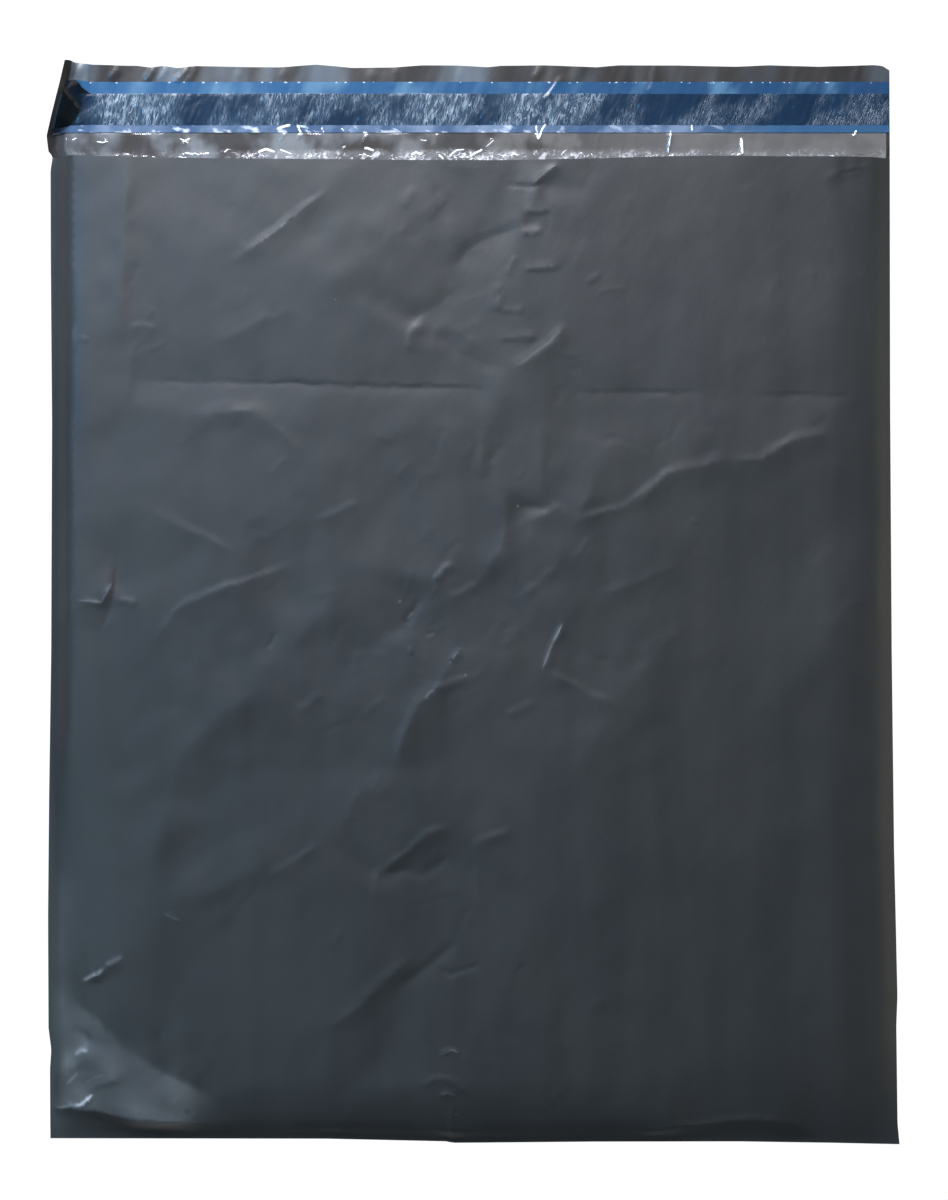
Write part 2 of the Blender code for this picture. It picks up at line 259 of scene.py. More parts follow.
LOWER_CREASES = [
    (0.55, 5.0, 9.0, [(459, 650), (446, 672), (432, 693), (418, 705), (401, 740), (399, 772)]),
    (0.38, 2.5, 5.0, [(432, 689), (471, 677)]),
    (0.42, 3.0, 6.0, [(546, 670), (565, 681), (585, 693), (616, 707)]),
    (0.32, 2.5, 4.0, [(536, 703), (505, 715)]),
    (0.28, 3.0, 5.0, [(326, 691), (297, 713)]),
    (0.32, 4.0, 6.0, [(359, 791), (350, 805), (350, 825)]),
    (0.52, 3.0, 7.0, [(452, 823), (428, 834), (405, 854), (379, 872), (373, 901)]),
    (-0.38, 3.0, 3.0, [(450, 858), (420, 876), (405, 870), (381, 874)]),
    (0.32, 3.0, 5.0, [(471, 844), (514, 830)]),
    (0.38, 3.0, 6.0, [(271, 876), (320, 844)]),
    (0.55, 5.0, 7.0, [(330, 1029), (371, 996), (391, 976), (416, 951)]),
    (-0.45, 4.0, 4.0, [(400, 988), (428, 966), (459, 940)]),
    (-0.28, 2.0, 2.0, [(438, 968), (452, 974), (481, 964)]),
    (0.38, 1.8, 3.0, [(438, 1053), (450, 1050), (461, 1054)]),
    (0.44, 2.4, 3.0, [(422, 1086), (436, 1077), (450, 1080), (471, 1096)]),
    (0.42, 1.4, 2.0, [(438, 1096), (446, 1093), (457, 1097)]),
    (0.40, 2.0, 2.0, [(451, 1104), (452, 1142)]),
    (0.80, 3.0, 4.0, [(84, 980), (97, 975), (108, 966), (121, 958)]),
    (0.28, 2.0, 3.0, [(165, 914), (181, 921)]),
    (-0.60, 3.0, 3.0, [(70, 1030), (82, 1037), (90, 1044)]),
    (0.50, 2.4, 2.0, [(72, 1057), (80, 1052), (87, 1052)]),
    (0.48, 2.0, 4.0, [(64, 1092), (75, 1078), (97, 1076)]),
    (0.85, 1.6, 3.0, [(60, 1109), (78, 1106), (84, 1102), (91, 1097)]),
    (0.35, 3.0, 4.0, [(651, 1131), (702, 1126), (753, 1120), (775, 1124), (806, 1134)]),
]

# Creases that only touch the rim of the front panel, in the same form
RIM_CREASES = [
    (2.1, 26.0, 6.0, [(20, 1108), (60, 1109), (89, 1111), (120, 1118), (157, 1123), (210, 1126)]),
    (0.5, 2.0, 4.0, [(64, 1075), (74, 1066), (84, 1050)]),
    (0.5, 2.5, 3.0, [(120, 1080), (100, 1084), (84, 1092)]),
    (-0.5, 3.0, 4.0, [(62, 1100), (70, 1103), (78, 1110)]),
]

# Broad swells of the front panel, in the same form
SWELLS = [
    (1.0, 26.0, 24.0, [(285, 672), (222, 717), (183, 752), (168, 815), (140, 900)]),
    (0.8, 16.0, 12.0, [(163, 905), (214, 889), (254, 868), (285, 846)]),
    (1.2, 24.0, 24.0, [(80, 1000), (95, 1021), (126, 1053), (161, 1074), (200, 1095)]),
    (0.7, 20.0, 22.0, [(370, 560), (300, 640), (240, 690)]),
    (0.6, 22.0, 22.0, [(620, 420), (560, 560), (520, 640)]),
    (0.7, 24.0, 24.0, [(700, 600), (620, 700), (560, 800)]),
    (0.6, 24.0, 30.0, [(300, 300), (380, 250), (460, 180)]),
]

# Painted highlights and lit patches of the front film, in the same form; the first number is their
# strength
FILM_HIGHLIGHTS = [
    (0.26, 3.0, 34.0, [(66, 1000), (95, 1021), (126, 1053), (161, 1074), (220, 1104)]),
    (0.26, 26.0, 1.2, [(20, 1108), (60, 1109), (89, 1111), (120, 1119), (157, 1125), (230, 1134)]),
    (0.22, 9.0, 12.0, [(62, 860), (60, 960), (62, 1040), (66, 1110)]),
    (0.56, 2.4, 1.6, [(80, 982), (97, 974), (106, 967)]),
    (0.48, 2.2, 1.4, [(104, 966), (112, 962), (123, 956)]),
    (0.75, 0.8, 0.7, [(72, 1108), (79, 1106), (85, 1102), (92, 1096)]),
    (0.20, 1.0, 0.9, [(52, 1109), (62, 1109), (76, 1107)]),
    (0.24, 1.6, 1.4, [(72, 1057), (79, 1051), (88, 1052)]),
    (0.16, 1.2, 0.8, [(64, 1088), (70, 1080), (76, 1074)]),
    (0.14, 1.0, 0.8, [(84, 1085), (94, 1078), (102, 1076)]),
    (0.45, 0.9, 0.9, [(76, 599), (90, 601), (104, 604)]),
    (0.30, 0.9, 0.9, [(101, 604), (106, 595), (113, 582)]),
    (0.50, 1.2, 0.8, [(565, 620), (556, 637), (547, 656), (542, 674)]),
    (0.34, 0.7, 0.7, [(437, 1096), (446, 1093), (458, 1098)]),
    (0.30, 0.9, 0.9, [(438, 1055), (450, 1050), (462, 1054)]),
    (0.28, 0.9, 0.9, [(163, 913), (172, 918), (183, 922)]),
    (0.28, 0.9, 0.9, [(461, 647), (455, 655), (449, 665)]),
    (0.22, 1.2, 1.2, [(508, 370), (534, 355), (562, 330)]),
    (0.30, 1.2, 0.9, [(558, 158), (545, 173), (530, 186)]),
    (0.22, 1.2, 1.2, [(256, 246), (295, 215), (332, 188)]),
    (0.26, 1.4, 1.2, [(424, 700), (431, 692), (437, 688)]),
    (0.60, 0.7, 0.7, [(516, 507), (520, 505)]),
    (0.60, 0.7, 0.7, [(463, 676), (467, 674)]),
    (0.30, 0.8, 0.6, [(407, 620), (413, 612)]),
    (0.30, 0.7, 0.7, [(397, 603), (404, 601)]),
]

# Creases of the flap, in the same form
FLAP_CREASES = [
    (0.55, 1.4, 2.0, [(147, 82), (151, 74), (156, 65)]),
    (0.42, 1.3, 2.0, [(160, 82), (168, 65)]),
    (0.60, 1.5, 2.2, [(175, 82), (183, 72), (192, 64)]),
    (0.45, 1.3, 2.0, [(187, 82), (198, 65)]),
    (0.36, 1.4, 2.0, [(108, 80), (120, 68)]),
    (0.16, 2.0, 3.0, [(281, 80), (284, 66)]),
    (0.18, 2.5, 3.5, [(366, 104), (372, 66)]),
    (0.15, 3.0, 3.0, [(392, 90), (398, 67)]),
    (0.30, 2.4, 2.4, [(536, 80), (542, 66)]),
    (0.34, 1.4, 2.0, [(545, 104), (553, 88), (563, 76)]),
    (0.16, 2.5, 3.0, [(574, 84), (580, 66)]),
    (0.24, 1.8, 2.6, [(648, 96), (653, 80), (656, 66)]),
    (0.14, 3.0, 3.0, [(742, 90), (746, 66)]),
    (0.14, 3.0, 3.0, [(790, 100), (796, 66)]),
    (0.14, 3.0, 3.0, [(852, 100), (856, 68)]),
    (0.14, 3.0, 3.0, [(232, 104), (240, 68)]),
    (0.14, 3.0, 3.0, [(455, 104), (462, 68)]),
]

# Creases of the clear strip, in the same form
STRIP_CREASES = [
    (0.34, 1.0, 1.3, [(534.5, 125), (537, 141)]),
    (0.34, 1.0, 1.3, [(546, 124), (537, 141)]),
    (0.42, 1.5, 1.6, [(671, 128), (670, 142), (668, 156)]),
    (0.30, 1.0, 1.0, [(692, 128), (692, 134)]),
    (0.42, 1.4, 1.6, [(740, 138), (741, 148), (741, 157)]),
    (0.30, 1.0, 1.0, [(855, 131), (852, 139)]),
    (0.34, 1.2, 1.4, [(280, 142), (287, 130)]),
    (0.34, 1.2, 1.4, [(296, 140), (304, 130)]),
    (0.30, 1.2, 1.4, [(362, 146), (368, 134)]),
    (0.36, 1.4, 1.6, [(340, 156), (345, 146)]),
    (0.26, 1.0, 1.2, [(103, 143), (110, 139)]),
    (0.30, 1.0, 1.4, [(181, 145), (192, 139)]),
    (0.26, 1.0, 1.2, [(64, 141), (70, 136)]),
    (0.26, 1.0, 1.2, [(491, 147), (493, 138)]),
    (0.20, 1.6, 2.0, [(594, 156), (600, 130)]),
    (0.20, 1.6, 2.0, [(430, 150), (440, 132)]),
]

# Painted glints on folds of the clear strip and liner, in the same form; the first is their strength
STRIP_GLINTS = [
    (1.0, 0.7, 0.7, [(535.5, 123), (536.5, 131), (537.5, 141)]),
    (1.0, 0.8, 0.8, [(546, 122.5), (542, 130), (537.5, 141)]),
    (1.0, 1.4, 0.9, [(276, 130), (284, 127), (292, 126)]),
    (1.0, 0.7, 0.7, [(296, 124), (299, 130), (301, 134)]),
    (0.8, 0.5, 0.5, [(321, 127), (324, 134)]),
    (0.8, 0.6, 0.6, [(340, 128), (344, 133)]),
    (1.0, 0.8, 0.6, [(361, 134), (368, 132.5)]),
    (1.0, 1.1, 0.8, [(363, 149), (368, 148), (375, 151)]),
    (0.8, 0.6, 0.5, [(356, 157), (363, 154), (376, 158)]),
    (0.8, 0.5, 0.5, [(223, 154), (227, 150), (234, 149)]),
    (1.0, 0.9, 0.7, [(256, 153), (266, 150), (277, 153)]),
    (1.0, 0.8, 0.8, [(278, 150), (287, 152), (295, 154)]),
    (0.9, 0.6, 0.6, [(284, 157), (296, 157)]),
    (0.9, 0.6, 0.5, [(232, 159), (242, 160)]),
    (0.7, 0.5, 0.5, [(311, 152), (318, 153.5)]),
    (0.8, 0.6, 0.5, [(418, 140), (427, 141)]),
    (1.0, 0.7, 0.6, [(410, 155), (416, 152), (424, 156)]),
    (1.0, 0.7, 0.7, [(437, 155), (441, 158), (444, 160)]),
    (1.0, 0.6, 0.6, [(449, 156), (457, 151), (468, 150)]),
    (1.0, 0.9, 0.9, [(469, 157), (476, 152), (484, 149)]),
    (0.7, 0.5, 0.5, [(484, 149), (490, 144), (496, 139)]),
    (0.9, 0.5, 0.5, [(509, 158), (513, 154), (519, 157)]),
    (0.8, 0.5, 0.5, [(533, 156), (538, 149)]),
    (0.8, 0.6, 0.5, [(560, 156), (565, 151), (569, 149)]),
    (0.7, 0.5, 0.5, [(577, 155), (584, 152)]),
    (0.9, 0.6, 0.6, [(671, 126), (670, 141), (668, 156)]),
    (0.9, 0.7, 0.5, [(692, 125), (692.5, 132)]),
    (1.0, 0.8, 1.1, [(739.5, 137), (741, 147), (742, 156)]),
    (1.0, 0.8, 0.7, [(856, 130), (852, 138)]),
    (0.9, 0.6, 0.5, [(69, 131), (75, 130)]),
    (0.8, 0.5, 0.5, [(63, 137), (67, 135), (71, 139), (68, 143), (63, 140)]),
    (1.0, 0.6, 0.5, [(75, 141), (81, 138)]),
    (0.8, 0.6, 0.5, [(98, 141), (105, 142), (113, 140)]),
    (1.0, 0.6, 0.4, [(179, 138), (185, 141), (191, 144)]),
    (1.0, 0.6, 0.6, [(184, 152), (195, 154.5)]),
    (0.9, 0.6, 0.5, [(103, 158), (109, 158.5)]),
    (0.9, 0.5, 0.5, [(115, 159), (119, 159)]),
    (0.9, 0.5, 0.5, [(150, 156), (160, 158)]),
    (1.0, 0.6, 0.5, [(178, 156), (188, 158.5)]),
    (0.7, 0.4, 0.4, [(395, 159), (404, 157)]),
    (0.7, 0.5, 0.5, [(618, 156), (625, 153)]),
    (0.6, 0.5, 0.5, [(648, 158), (656, 155)]),
    (0.6, 0.5, 0.5, [(704, 156), (713, 155)]),
    (0.6, 0.5, 0.5, [(784, 154), (790, 157)]),
    (0.7, 0.5, 0.5, [(820, 157), (836, 156)]),
    (0.7, 0.5, 0.5, [(862, 156), (884, 157)]),
]

# Creases of the back panel, in millimetres across and up from the middle of the bag
BACK_CREASES = [
    (0.35, 4.0, 4.0, [(-172, 90), (0, 87), (172, 86)]),
    (0.35, 4.0, 4.0, [(22, 180), (8, 60), (-2, -60), (-8, -218)]),
    (0.40, 5.0, 8.0, [(-150, 20), (-90, 60), (-20, 66)]),
    (0.40, 5.0, 8.0, [(30, -20), (80, 20), (150, 34)]),
    (0.35, 5.0, 8.0, [(-130, -150), (-70, -110), (-20, -104)]),
    (0.35, 4.0, 8.0, [(60, -160), (100, -130), (150, -120)]),
    (0.35, 4.0, 6.0, [(-120, 150), (-70, 120), (-40, 130)]),
    (0.35, 4.0, 6.0, [(60, 160), (90, 120), (140, 130)]),
]

# The flap's bent corner. Each row is a point of the flat flap, in millimetres from its left
# edge and above the mouth, and where it goes: its pixel in the photograph and its height
CORNER = [
    (0.0, 0.0, 49.0, 157.0, 0.3),
    (0.0, 10.0, 46.5, 136.0, 2.6),
    (0.0, 20.0, 51.5, 114.0, 7.0),
    (0.0, 29.0, 58.0, 88.0, 10.6),
    (0.0, 40.0, 65.5, 55.5, 12.2),
    (2.4, 0.0, 54.5, 157.0, 0.2),
    (2.4, 10.0, 51.0, 136.0, 2.0),
    (2.4, 20.0, 56.0, 113.0, 6.4),
    (2.4, 29.0, 63.0, 88.0, 9.6),
    (2.4, 36.0, 68.6, 66.0, 9.4),
    (2.4, 40.0, 70.6, 57.0, 9.0),
    (5.5, 0.0, 62.0, 157.5, 0.0),
    (5.0, 8.0, 59.0, 139.0, 0.4),
    (8.5, 14.0, 69.5, 125.0, 0.3),
    (13.0, 20.0, 80.5, 110.0, 0.3),
    (15.5, 29.5, 90.0, 88.5, 0.4),
    (11.5, 31.0, 80.0, 83.0, 1.2),
    (7.5, 34.0, 73.5, 75.0, 2.8),
    (8.5, 40.0, 75.0, 59.4, 1.4),
    (16.0, 40.0, 93.5, 61.6, 0.4),
    (27.0, 40.0, 120.0, 64.8, 0.3),
    (24.0, 30.0, 111.5, 87.0, 0.1),
    (36.0, 40.0, 143.5, 65.5, 0.0),
    (36.0, 0.0, 139.0, 157.5, 0.0),
]
CORNER_ROUNDING = 0.6 * MM

# How far from the edge and the mouth those rows reach. From how many millimetres on they only
# lift the film
CORNER_REACH = 40 * MM
CORNER_STILL = 27.0

# Small creases: how many, their lean from the +X axis in degrees, and their zone's corners in
# pixels. Then how far their lean spreads, and their ranges in millimetres
SMALL_ZONES = [
    (34, 62, (400, 180, 600, 640)),
    (26, 50, (330, 600, 560, 1000)),
    (18, 40, (180, 380, 440, 700)),
    (14, 35, (560, 420, 860, 720)),
    (12, 55, (60, 880, 260, 1110)),
    (10, 80, (70, 180, 300, 400)),
    (10, 60, (600, 170, 870, 400)),
    (10, 30, (420, 980, 640, 1110)),
]
LEAN_SPREAD = 28
SMALL_HALF_LENGTH = (2.0, 9.0)
SMALL_RISE = (0.05, 0.15)
SMALL_WIDTH = (1.5, 5.0)

# How far a crease's line moves off its straight stretches, and in cells of which size
ROUGH_STEP = 3 * MM
ROUGH_CELL = 5 * MM
ROUGHNESS = 0.5 * MM
SMALL_ROUGHNESS = 0.6 * MM

# How a crease's width and height vary along it, how it falls away from its line, and how
# fast it grows from its blunt ends
UNEVENNESS = 0.35
WIDEST = 1.4
WIDTH_CELL = 12 * MM
RISE_CELL = 15 * MM
FALL_POWER = 1.25
END_GROWTH = 4
BLUNT_END = 0.12

# Broad and small facets: their usual size and how far they swing. Then what part of a crease's
# height the broad facets carry, and what part the crease itself has
FACET_STEP = 32 * MM
FACET_SWING = 0.55 * MM
SMALL_FACET_STEP = 11 * MM
SMALL_FACET_SWING = 0.20 * MM
FACET_SHARE = 1.15
CREASE_SHARE = 0.75

# The grid that holds the facets, and how their points spread past the panel and off their rows
GRID_STEP = 1.5 * MM
GRID_BORDER = 10 * MM
FACET_SPREAD = 30 * MM
FACET_JITTER = 0.3
FACET_ROOM = 0.45


def ray_direction(px, py):
    """The direction in which the camera sees a pixel of the photograph."""
    u = (px - CENTRE_PX[0]) * PIXEL / CAMERA_HEIGHT
    v = (CENTRE_PX[1] - py) * PIXEL / CAMERA_HEIGHT
    sin, cos = math.sin(CAMERA_TILT), math.cos(CAMERA_TILT)
    return Vector((u, sin + v * cos, -cos + v * sin))


def camera_place():
    """Where the camera stands."""
    back = -CAMERA_HEIGHT * math.sin(CAMERA_TILT)
    return Vector((CAMERA_SHIFT, back, CAMERA_HEIGHT * math.cos(CAMERA_TILT)))


def photo_point(px, py, height=PUFF):
    """The plan point that a pixel shows, on a level at this height."""
    start, ray = camera_place(), ray_direction(px, py)
    reach = (height - start.z) / ray.z
    return start.x + ray.x * reach, start.y + ray.y * reach


def smooth(share):
    """A smooth step from 0 to 1."""
    share = np.clip(share, 0, 1)
    return share * share * (3 - 2 * share)


def noise(x, y, cell_x, cell_y, seed):
    """Smooth noise from about -1 to 1, with cells of the given size."""
    x, y = np.broadcast_arrays(np.asarray(x, float), np.asarray(y, float))
    flat = zip((x.ravel() / cell_x).tolist(), (y.ravel() / cell_y).tolist())
    found = [gradient.noise((u, v, seed * SEED_STEP)) for u, v in flat]
    return np.array(found).reshape(x.shape) * NOISE_GAIN


def spaced(start, end, step):
    """Plan points from start to end, no more than step apart."""
    start, end = np.asarray(start, float), np.asarray(end, float)
    count = max(1, math.ceil(np.linalg.norm(end - start) / step))
    return start + (end - start) * np.linspace(0, 1, count + 1)[:, None]


def spaced_route(route, step):
    """Plan points along a route, no more than step apart."""
    parts = [spaced(a, b, step)[:-1] for a, b in zip(route, route[1:])]
    return np.vstack([*parts, [route[-1]]])


def roughened(route, step, size):
    """A route with a point every step or less, moved a little off its straight stretches."""
    route = spaced_route(np.asarray(route, float), step)
    x, y = route.T
    moves = [noise(x, y, ROUGH_CELL, ROUGH_CELL, seed) for seed in (1, 2)]
    return route + size * np.column_stack(moves)


def on_level(creases, height):
    """Creases with their routes as plan points in metres, and their sizes in metres."""
    made = []
    for rise, lit, shaded, route in creases:
        plan = [photo_point(px, py, height) for px, py in route]
        plan = roughened(plan, ROUGH_STEP, ROUGHNESS)
        made.append((rise * MM, lit * MM, shaded * MM, plan))
    return made


def in_metres(creases):
    """Creases that are given in millimetres, in metres."""
    return [
        (rise * MM, lit * MM, shaded * MM, np.array(route) * MM)
        for rise, lit, shaded, route in creases
    ]


def scattered(zones):
    """Small creases strewn over zones of the front panel, most of them leaning as the long ones."""
    made, rng = [], np.random.default_rng(7)
    for count, lean, (left, top, right, bottom) in zones:
        for _ in range(count):
            middle = np.array(photo_point(rng.uniform(left, right), rng.uniform(top, bottom)))
            angle = math.radians(lean + rng.normal(0, LEAN_SPREAD))
            half = rng.uniform(*SMALL_HALF_LENGTH) * MM
            half = half * np.array([math.cos(angle), math.sin(angle)])
            rise = rng.uniform(*SMALL_RISE) * rng.choice([1, 1, -1]) * MM
            lit, shaded = rng.uniform(*SMALL_WIDTH, 2) * MM
            route = roughened([middle - half, middle + half], ROUGH_STEP, SMALL_ROUGHNESS)
            made.append((rise, lit, shaded, route))
    return made


def wander(places, edge):
    """How far an edge wanders at each place along it."""
    along, out = zip(*sorted(edge))
    return np.interp(np.asarray(places) / MM, along, out) * MM


def crease_height(plan, lines):
    """The height that creases add at each plan point."""
    total = np.zeros(len(plan))
    for rise, lit, shaded, route in lines:
        reach = max(lit, shaded) * WIDEST
        inside = np.all((plan > route.min(0) - reach) & (plan < route.max(0) + reach), axis=1)
        if not inside.any():
            continue
        points = plan[inside]
        best = np.full(len(points), np.inf)
        share = np.zeros(len(points))
        side = np.zeros(len(points))
        lengths = np.hypot(*np.diff(route, axis=0).T)
        passed = 0.0
        for start, end, length in zip(route, route[1:], lengths):
            along = (end - start) / length
            across = np.array([-along[1], along[0]])
            across = across if across @ TO_LIGHT > 0 else -across
            run = np.clip((points - start) @ along, 0, length)
            offset = points - start - run[:, None] * along
            away = np.hypot(*offset.T)
            nearer = away < best
            best = np.where(nearer, away, best)
            share = np.where(nearer, (passed + run) / lengths.sum(), share)
            side = np.where(nearer, offset @ across, side)
            passed += length
        x, y = points.T
        width = np.where(side > 0, lit, shaded)
        width = width * (1 + UNEVENNESS * noise(x, y, WIDTH_CELL, WIDTH_CELL, 3))
        fall = np.clip(1 - best / width, 0, 1) ** FALL_POWER
        taper = smooth(np.minimum(share, 1 - share) * END_GROWTH + BLUNT_END)
        uneven = 1 + UNEVENNESS * noise(x, y, RISE_CELL, RISE_CELL, 4)
        total[inside] += rise * fall * taper * uneven
    return total


def shares(points, a, b, c):
    """How much of a triangle's corners each point holds, and whether it lies in the triangle."""
    share = (points - a) @ np.linalg.inv(np.column_stack([b - a, c - a])).T
    weight = np.concatenate([1 - share.sum(-1, keepdims=True), share], axis=-1)
    return weight, np.all(weight > -1e-6, axis=-1)


class Facets:
    """Flat facets between raised and lowered points, kept as heights on a grid."""

    def __init__(self, lines, low, high, size, swing):
        self.low, self.step = np.array(low) - GRID_BORDER, GRID_STEP
        self.facet, self.swing = size, swing
        span = np.array(high) + GRID_BORDER - self.low
        self.cells = np.ceil(span / self.step).astype(int) + 1
        points, heights = self.nodes(lines, low, high)
        self.grid = self.filled(points, heights)
        for _ in range(2):
            self.grid = self.blurred(self.blurred(self.grid).T).T

    def nodes(self, lines, low, high):
        """The points between which the facets lie, with their heights."""
        points, heights, rng = [], [], np.random.default_rng(3)
        for rise, _, _, route in lines:
            for place in route[:: max(1, len(route) // 3)]:
                points.append(place)
                heights.append(rise * FACET_SHARE)
        free = lattice(np.array(low) - FACET_SPREAD, np.array(high) + FACET_SPREAD, self.facet)
        free = free + rng.uniform(-FACET_JITTER, FACET_JITTER, free.shape) * self.facet
        free = free[away_from(free, [points], self.facet * FACET_ROOM)]
        points = np.vstack([np.array(points).reshape(-1, 2), free])
        heights = np.concatenate([heights, rng.uniform(-1, 1, len(free)) * self.swing])
        return points, heights

    def filled(self, points, heights):
        """The facets' heights on the grid."""
        grid = np.zeros(self.cells)
        made = delaunay_2d_cdt([Vector(p) for p in points], [], [], 0, 1e-7)
        for triangle in made[2]:
            nodes = [made[3][i][0] for i in triangle]
            a, b, c = points[nodes]
            first = np.floor((np.minimum.reduce([a, b, c]) - self.low) / self.step).astype(int)
            last = np.ceil((np.maximum.reduce([a, b, c]) - self.low) / self.step).astype(int)
            first, last = np.maximum(first, 0), np.minimum(last, self.cells - 1)
            if np.any(last < first) or abs(np.linalg.det([b - a, c - a])) < 1e-9:
                continue
            i, j = np.mgrid[first[0] : last[0] + 1, first[1] : last[1] + 1]
            weight, within = shares(self.low + np.stack([i, j], axis=-1) * self.step, a, b, c)
            grid[i[within], j[within]] = weight[within] @ heights[nodes]
        return grid

    def blurred(self, grid):
        """The grid averaged over neighbours along its first axis."""
        wide = np.pad(grid, ((1, 1), (0, 0)), mode="edge")
        return (wide[:-2] + wide[1:-1] * 2 + wide[2:]) / 4

    def at(self, plan):
        """The facets' height at each plan point."""
        place = np.clip((plan - self.low) / self.step, 0, self.cells - 1.001)
        cell = place.astype(int)
        (i, j), (s, t) = cell.T, (place - cell).T
        low = self.grid[i, j] * (1 - s) + self.grid[i + 1, j] * s
        high = self.grid[i, j + 1] * (1 - s) + self.grid[i + 1, j + 1] * s
        return low * (1 - t) + high * t


def roll(distance, reach, slow_reach, steepness):
    """How far the panel has risen: a straight slope along the edge, then a slow rise to 1."""
    first = np.clip(steepness * reach / PUFF, 0, MOST_OF_RISE)
    fast = np.clip(distance / reach, 0, 1)
    slow = np.clip(distance / (reach + slow_reach), 0, 1)
    return first * fast + (1 - first) * (1 - (1 - slow) ** 2)


def panel_rise(plan):
    """The rise of the front panel towards its plateau, from 0 at its edges to 1."""
    x, y = plan.T
    left, right, end = x - LEFT - WELD, RIGHT - x, y - BOTTOM - WELD

    # The left side: a low, slow roll towards the bottom, and a steep one by the mouth
    low = smooth((-20 * MM - y) / (100 * MM))
    reach = SIDE_ROLL * (1 + 0.10 * noise(y, y, 30 * MM, 1, 4)) * (1 - 0.60 * low)
    slope = FACET_SLOPE * (1 - 0.8 * low + 0.28 * smooth((y - 50 * MM) / (60 * MM)))
    rise = roll(left, reach, (10 + 34 * low) * MM, slope)

    # The right side and the bottom
    reach = RIGHT_ROLL * (1 + 0.15 * noise(y, y, 40 * MM, 1, 5))
    rise = rise * roll(right, reach, RIGHT_SLOW, RIGHT_SLOPE)
    reach = wander(x, BOTTOM_BAND) * (1 + 0.10 * noise(x, x, 30 * MM, 1, 6))
    rise = rise * roll(end, reach, wander(x, BAND_SLOW), wander(x, BAND_SLOPE) / MM)

    # The bottom left corner
    start, stop = (np.array(photo_point(*place)) for place in CORNER_FOLD)
    run = (stop - start) / np.linalg.norm(stop - start)
    beyond = (plan - start) @ np.array([-run[1], run[0]])
    return rise * (1 - CORNER_SAG * (1 - np.clip(beyond / CORNER_SOFT, 0, 1)) ** 2)


def broad_height(plan):
    """The front panel without its creases: plateau, swells, facets and rolled edges."""
    x, y = plan.T
    waves = 0.30 * MM * noise(x, y, 60 * MM, 75 * MM, 11)
    swell = crease_height(plan, BROAD) + FACETS.at(plan) + waves
    return 2 * FILM + panel_rise(plan) * (PUFF + swell - 2 * FILM)


def front_height(plan):
    """The height of the front panel's upper face."""
    x, y = plan.T
    crumple = 0.05 * MM * noise(x + 0.3 * y, y, 10 * MM, 16 * MM, 13)
    facets = SMALL_FACETS.at(plan) * (0.5 + 0.5 * smooth(1 - np.abs(x) / (100 * MM)))
    fine = crease_height(plan, CREASES) * CREASE_SHARE + crumple + facets
    return broad_height(plan) + np.clip(panel_rise(plan) * FINE_RISE, 0, 1) * fine


def back_height(plan):
    """How far the back panel and the flap lift off the surface."""
    x, y = plan.T
    on_flap = smooth((y - MOUTH) / (4 * MM))
    inset = np.minimum.reduce([x - LEFT, RIGHT - x, y - BOTTOM])
    body = np.maximum(0, crease_height(plan, BACK_LINES)) + 0.05 * MM
    body *= smooth((inset - WELD) / (6 * MM)) * (1 - on_flap)
    pucker = 0.20 * MM * np.abs(noise(x - 0.2 * y, y, 11 * MM, 50 * MM, 21))
    pucker += 0.07 * MM * np.abs(noise(x - 0.3 * y, y, 5 * MM, 18 * MM, 22))
    return body + on_flap * (pucker + np.maximum(0, crease_height(plan, FLAP_LINES)))


def corner_shift(plan):
    """How the bent corner moves each point of the flat flap: (x, y, z) shifts."""
    rows = np.array(CORNER)
    flat = np.column_stack([LEFT + rows[:, 0] * MM, MOUTH + rows[:, 1] * MM])
    goal = np.array([[*photo_point(row[2], row[3], row[4] * MM), row[4] * MM] for row in rows])
    shifts = goal - np.column_stack([flat, np.zeros(len(flat))])
    shifts[rows[:, 0] >= CORNER_STILL, :2] = 0
    made = delaunay_2d_cdt([Vector(p) for p in flat], [], [], 0, 1e-9)
    total = np.zeros((len(plan), 3))
    ring = [(0, 0)] + [(math.cos(a), math.sin(a)) for a in np.arange(8) * math.pi / 4]
    for offset in ring:
        points = plan + CORNER_ROUNDING * np.array(offset)
        points = np.clip(points, (LEFT, MOUTH), (np.inf, MOUTH + CORNER_REACH))
        for triangle in made[2]:
            nodes = [made[3][i][0] for i in triangle]
            weight, within = shares(points, *flat[nodes])
            within &= plan[:, 1] >= MOUTH - NEAR
            total[within] += weight[within] @ shifts[nodes] / len(ring)
    return total


def flap_place(plan, height):
    """Points at a height over the back of the flat flap, after its corner is bent."""
    total = np.column_stack([plan, height])
    close = (plan[:, 0] < LEFT + CORNER_REACH) & (plan[:, 1] > MOUTH - NEAR)
    if not close.any():
        return total
    near = plan[close]
    shift = corner_shift(near)
    slope_x = (corner_shift(near + [SLOPE_STEP, 0]) - shift) / SLOPE_STEP + [1, 0, 0]
    slope_y = (corner_shift(near + [0, SLOPE_STEP]) - shift) / SLOPE_STEP + [0, 1, 0]
    normal = np.cross(slope_x, slope_y)
    normal /= np.linalg.norm(normal, axis=1)[:, None]
    lift = height[close][:, None]
    fade = smooth((near[:, 1] - MOUTH) / (3 * MM))[:, None]
    up = normal * fade + np.array([0, 0, 1]) * (1 - fade)
    total[close] = np.column_stack([near, np.zeros(len(near))]) + shift * fade + up * lift
    return total


def lattice(low, high, step):
    """Plan points in staggered rows over a box."""
    xs = np.arange(low[0] + step / 2, high[0], step)
    ys = np.arange(low[1] + step / 2, high[1], step * ROW_SHARE)
    x, y = np.meshgrid(xs, ys)
    x = x + np.where(np.arange(len(ys)) % 2, step / 4, -step / 4)[:, None]
    return np.column_stack([x.ravel(), y.ravel()])


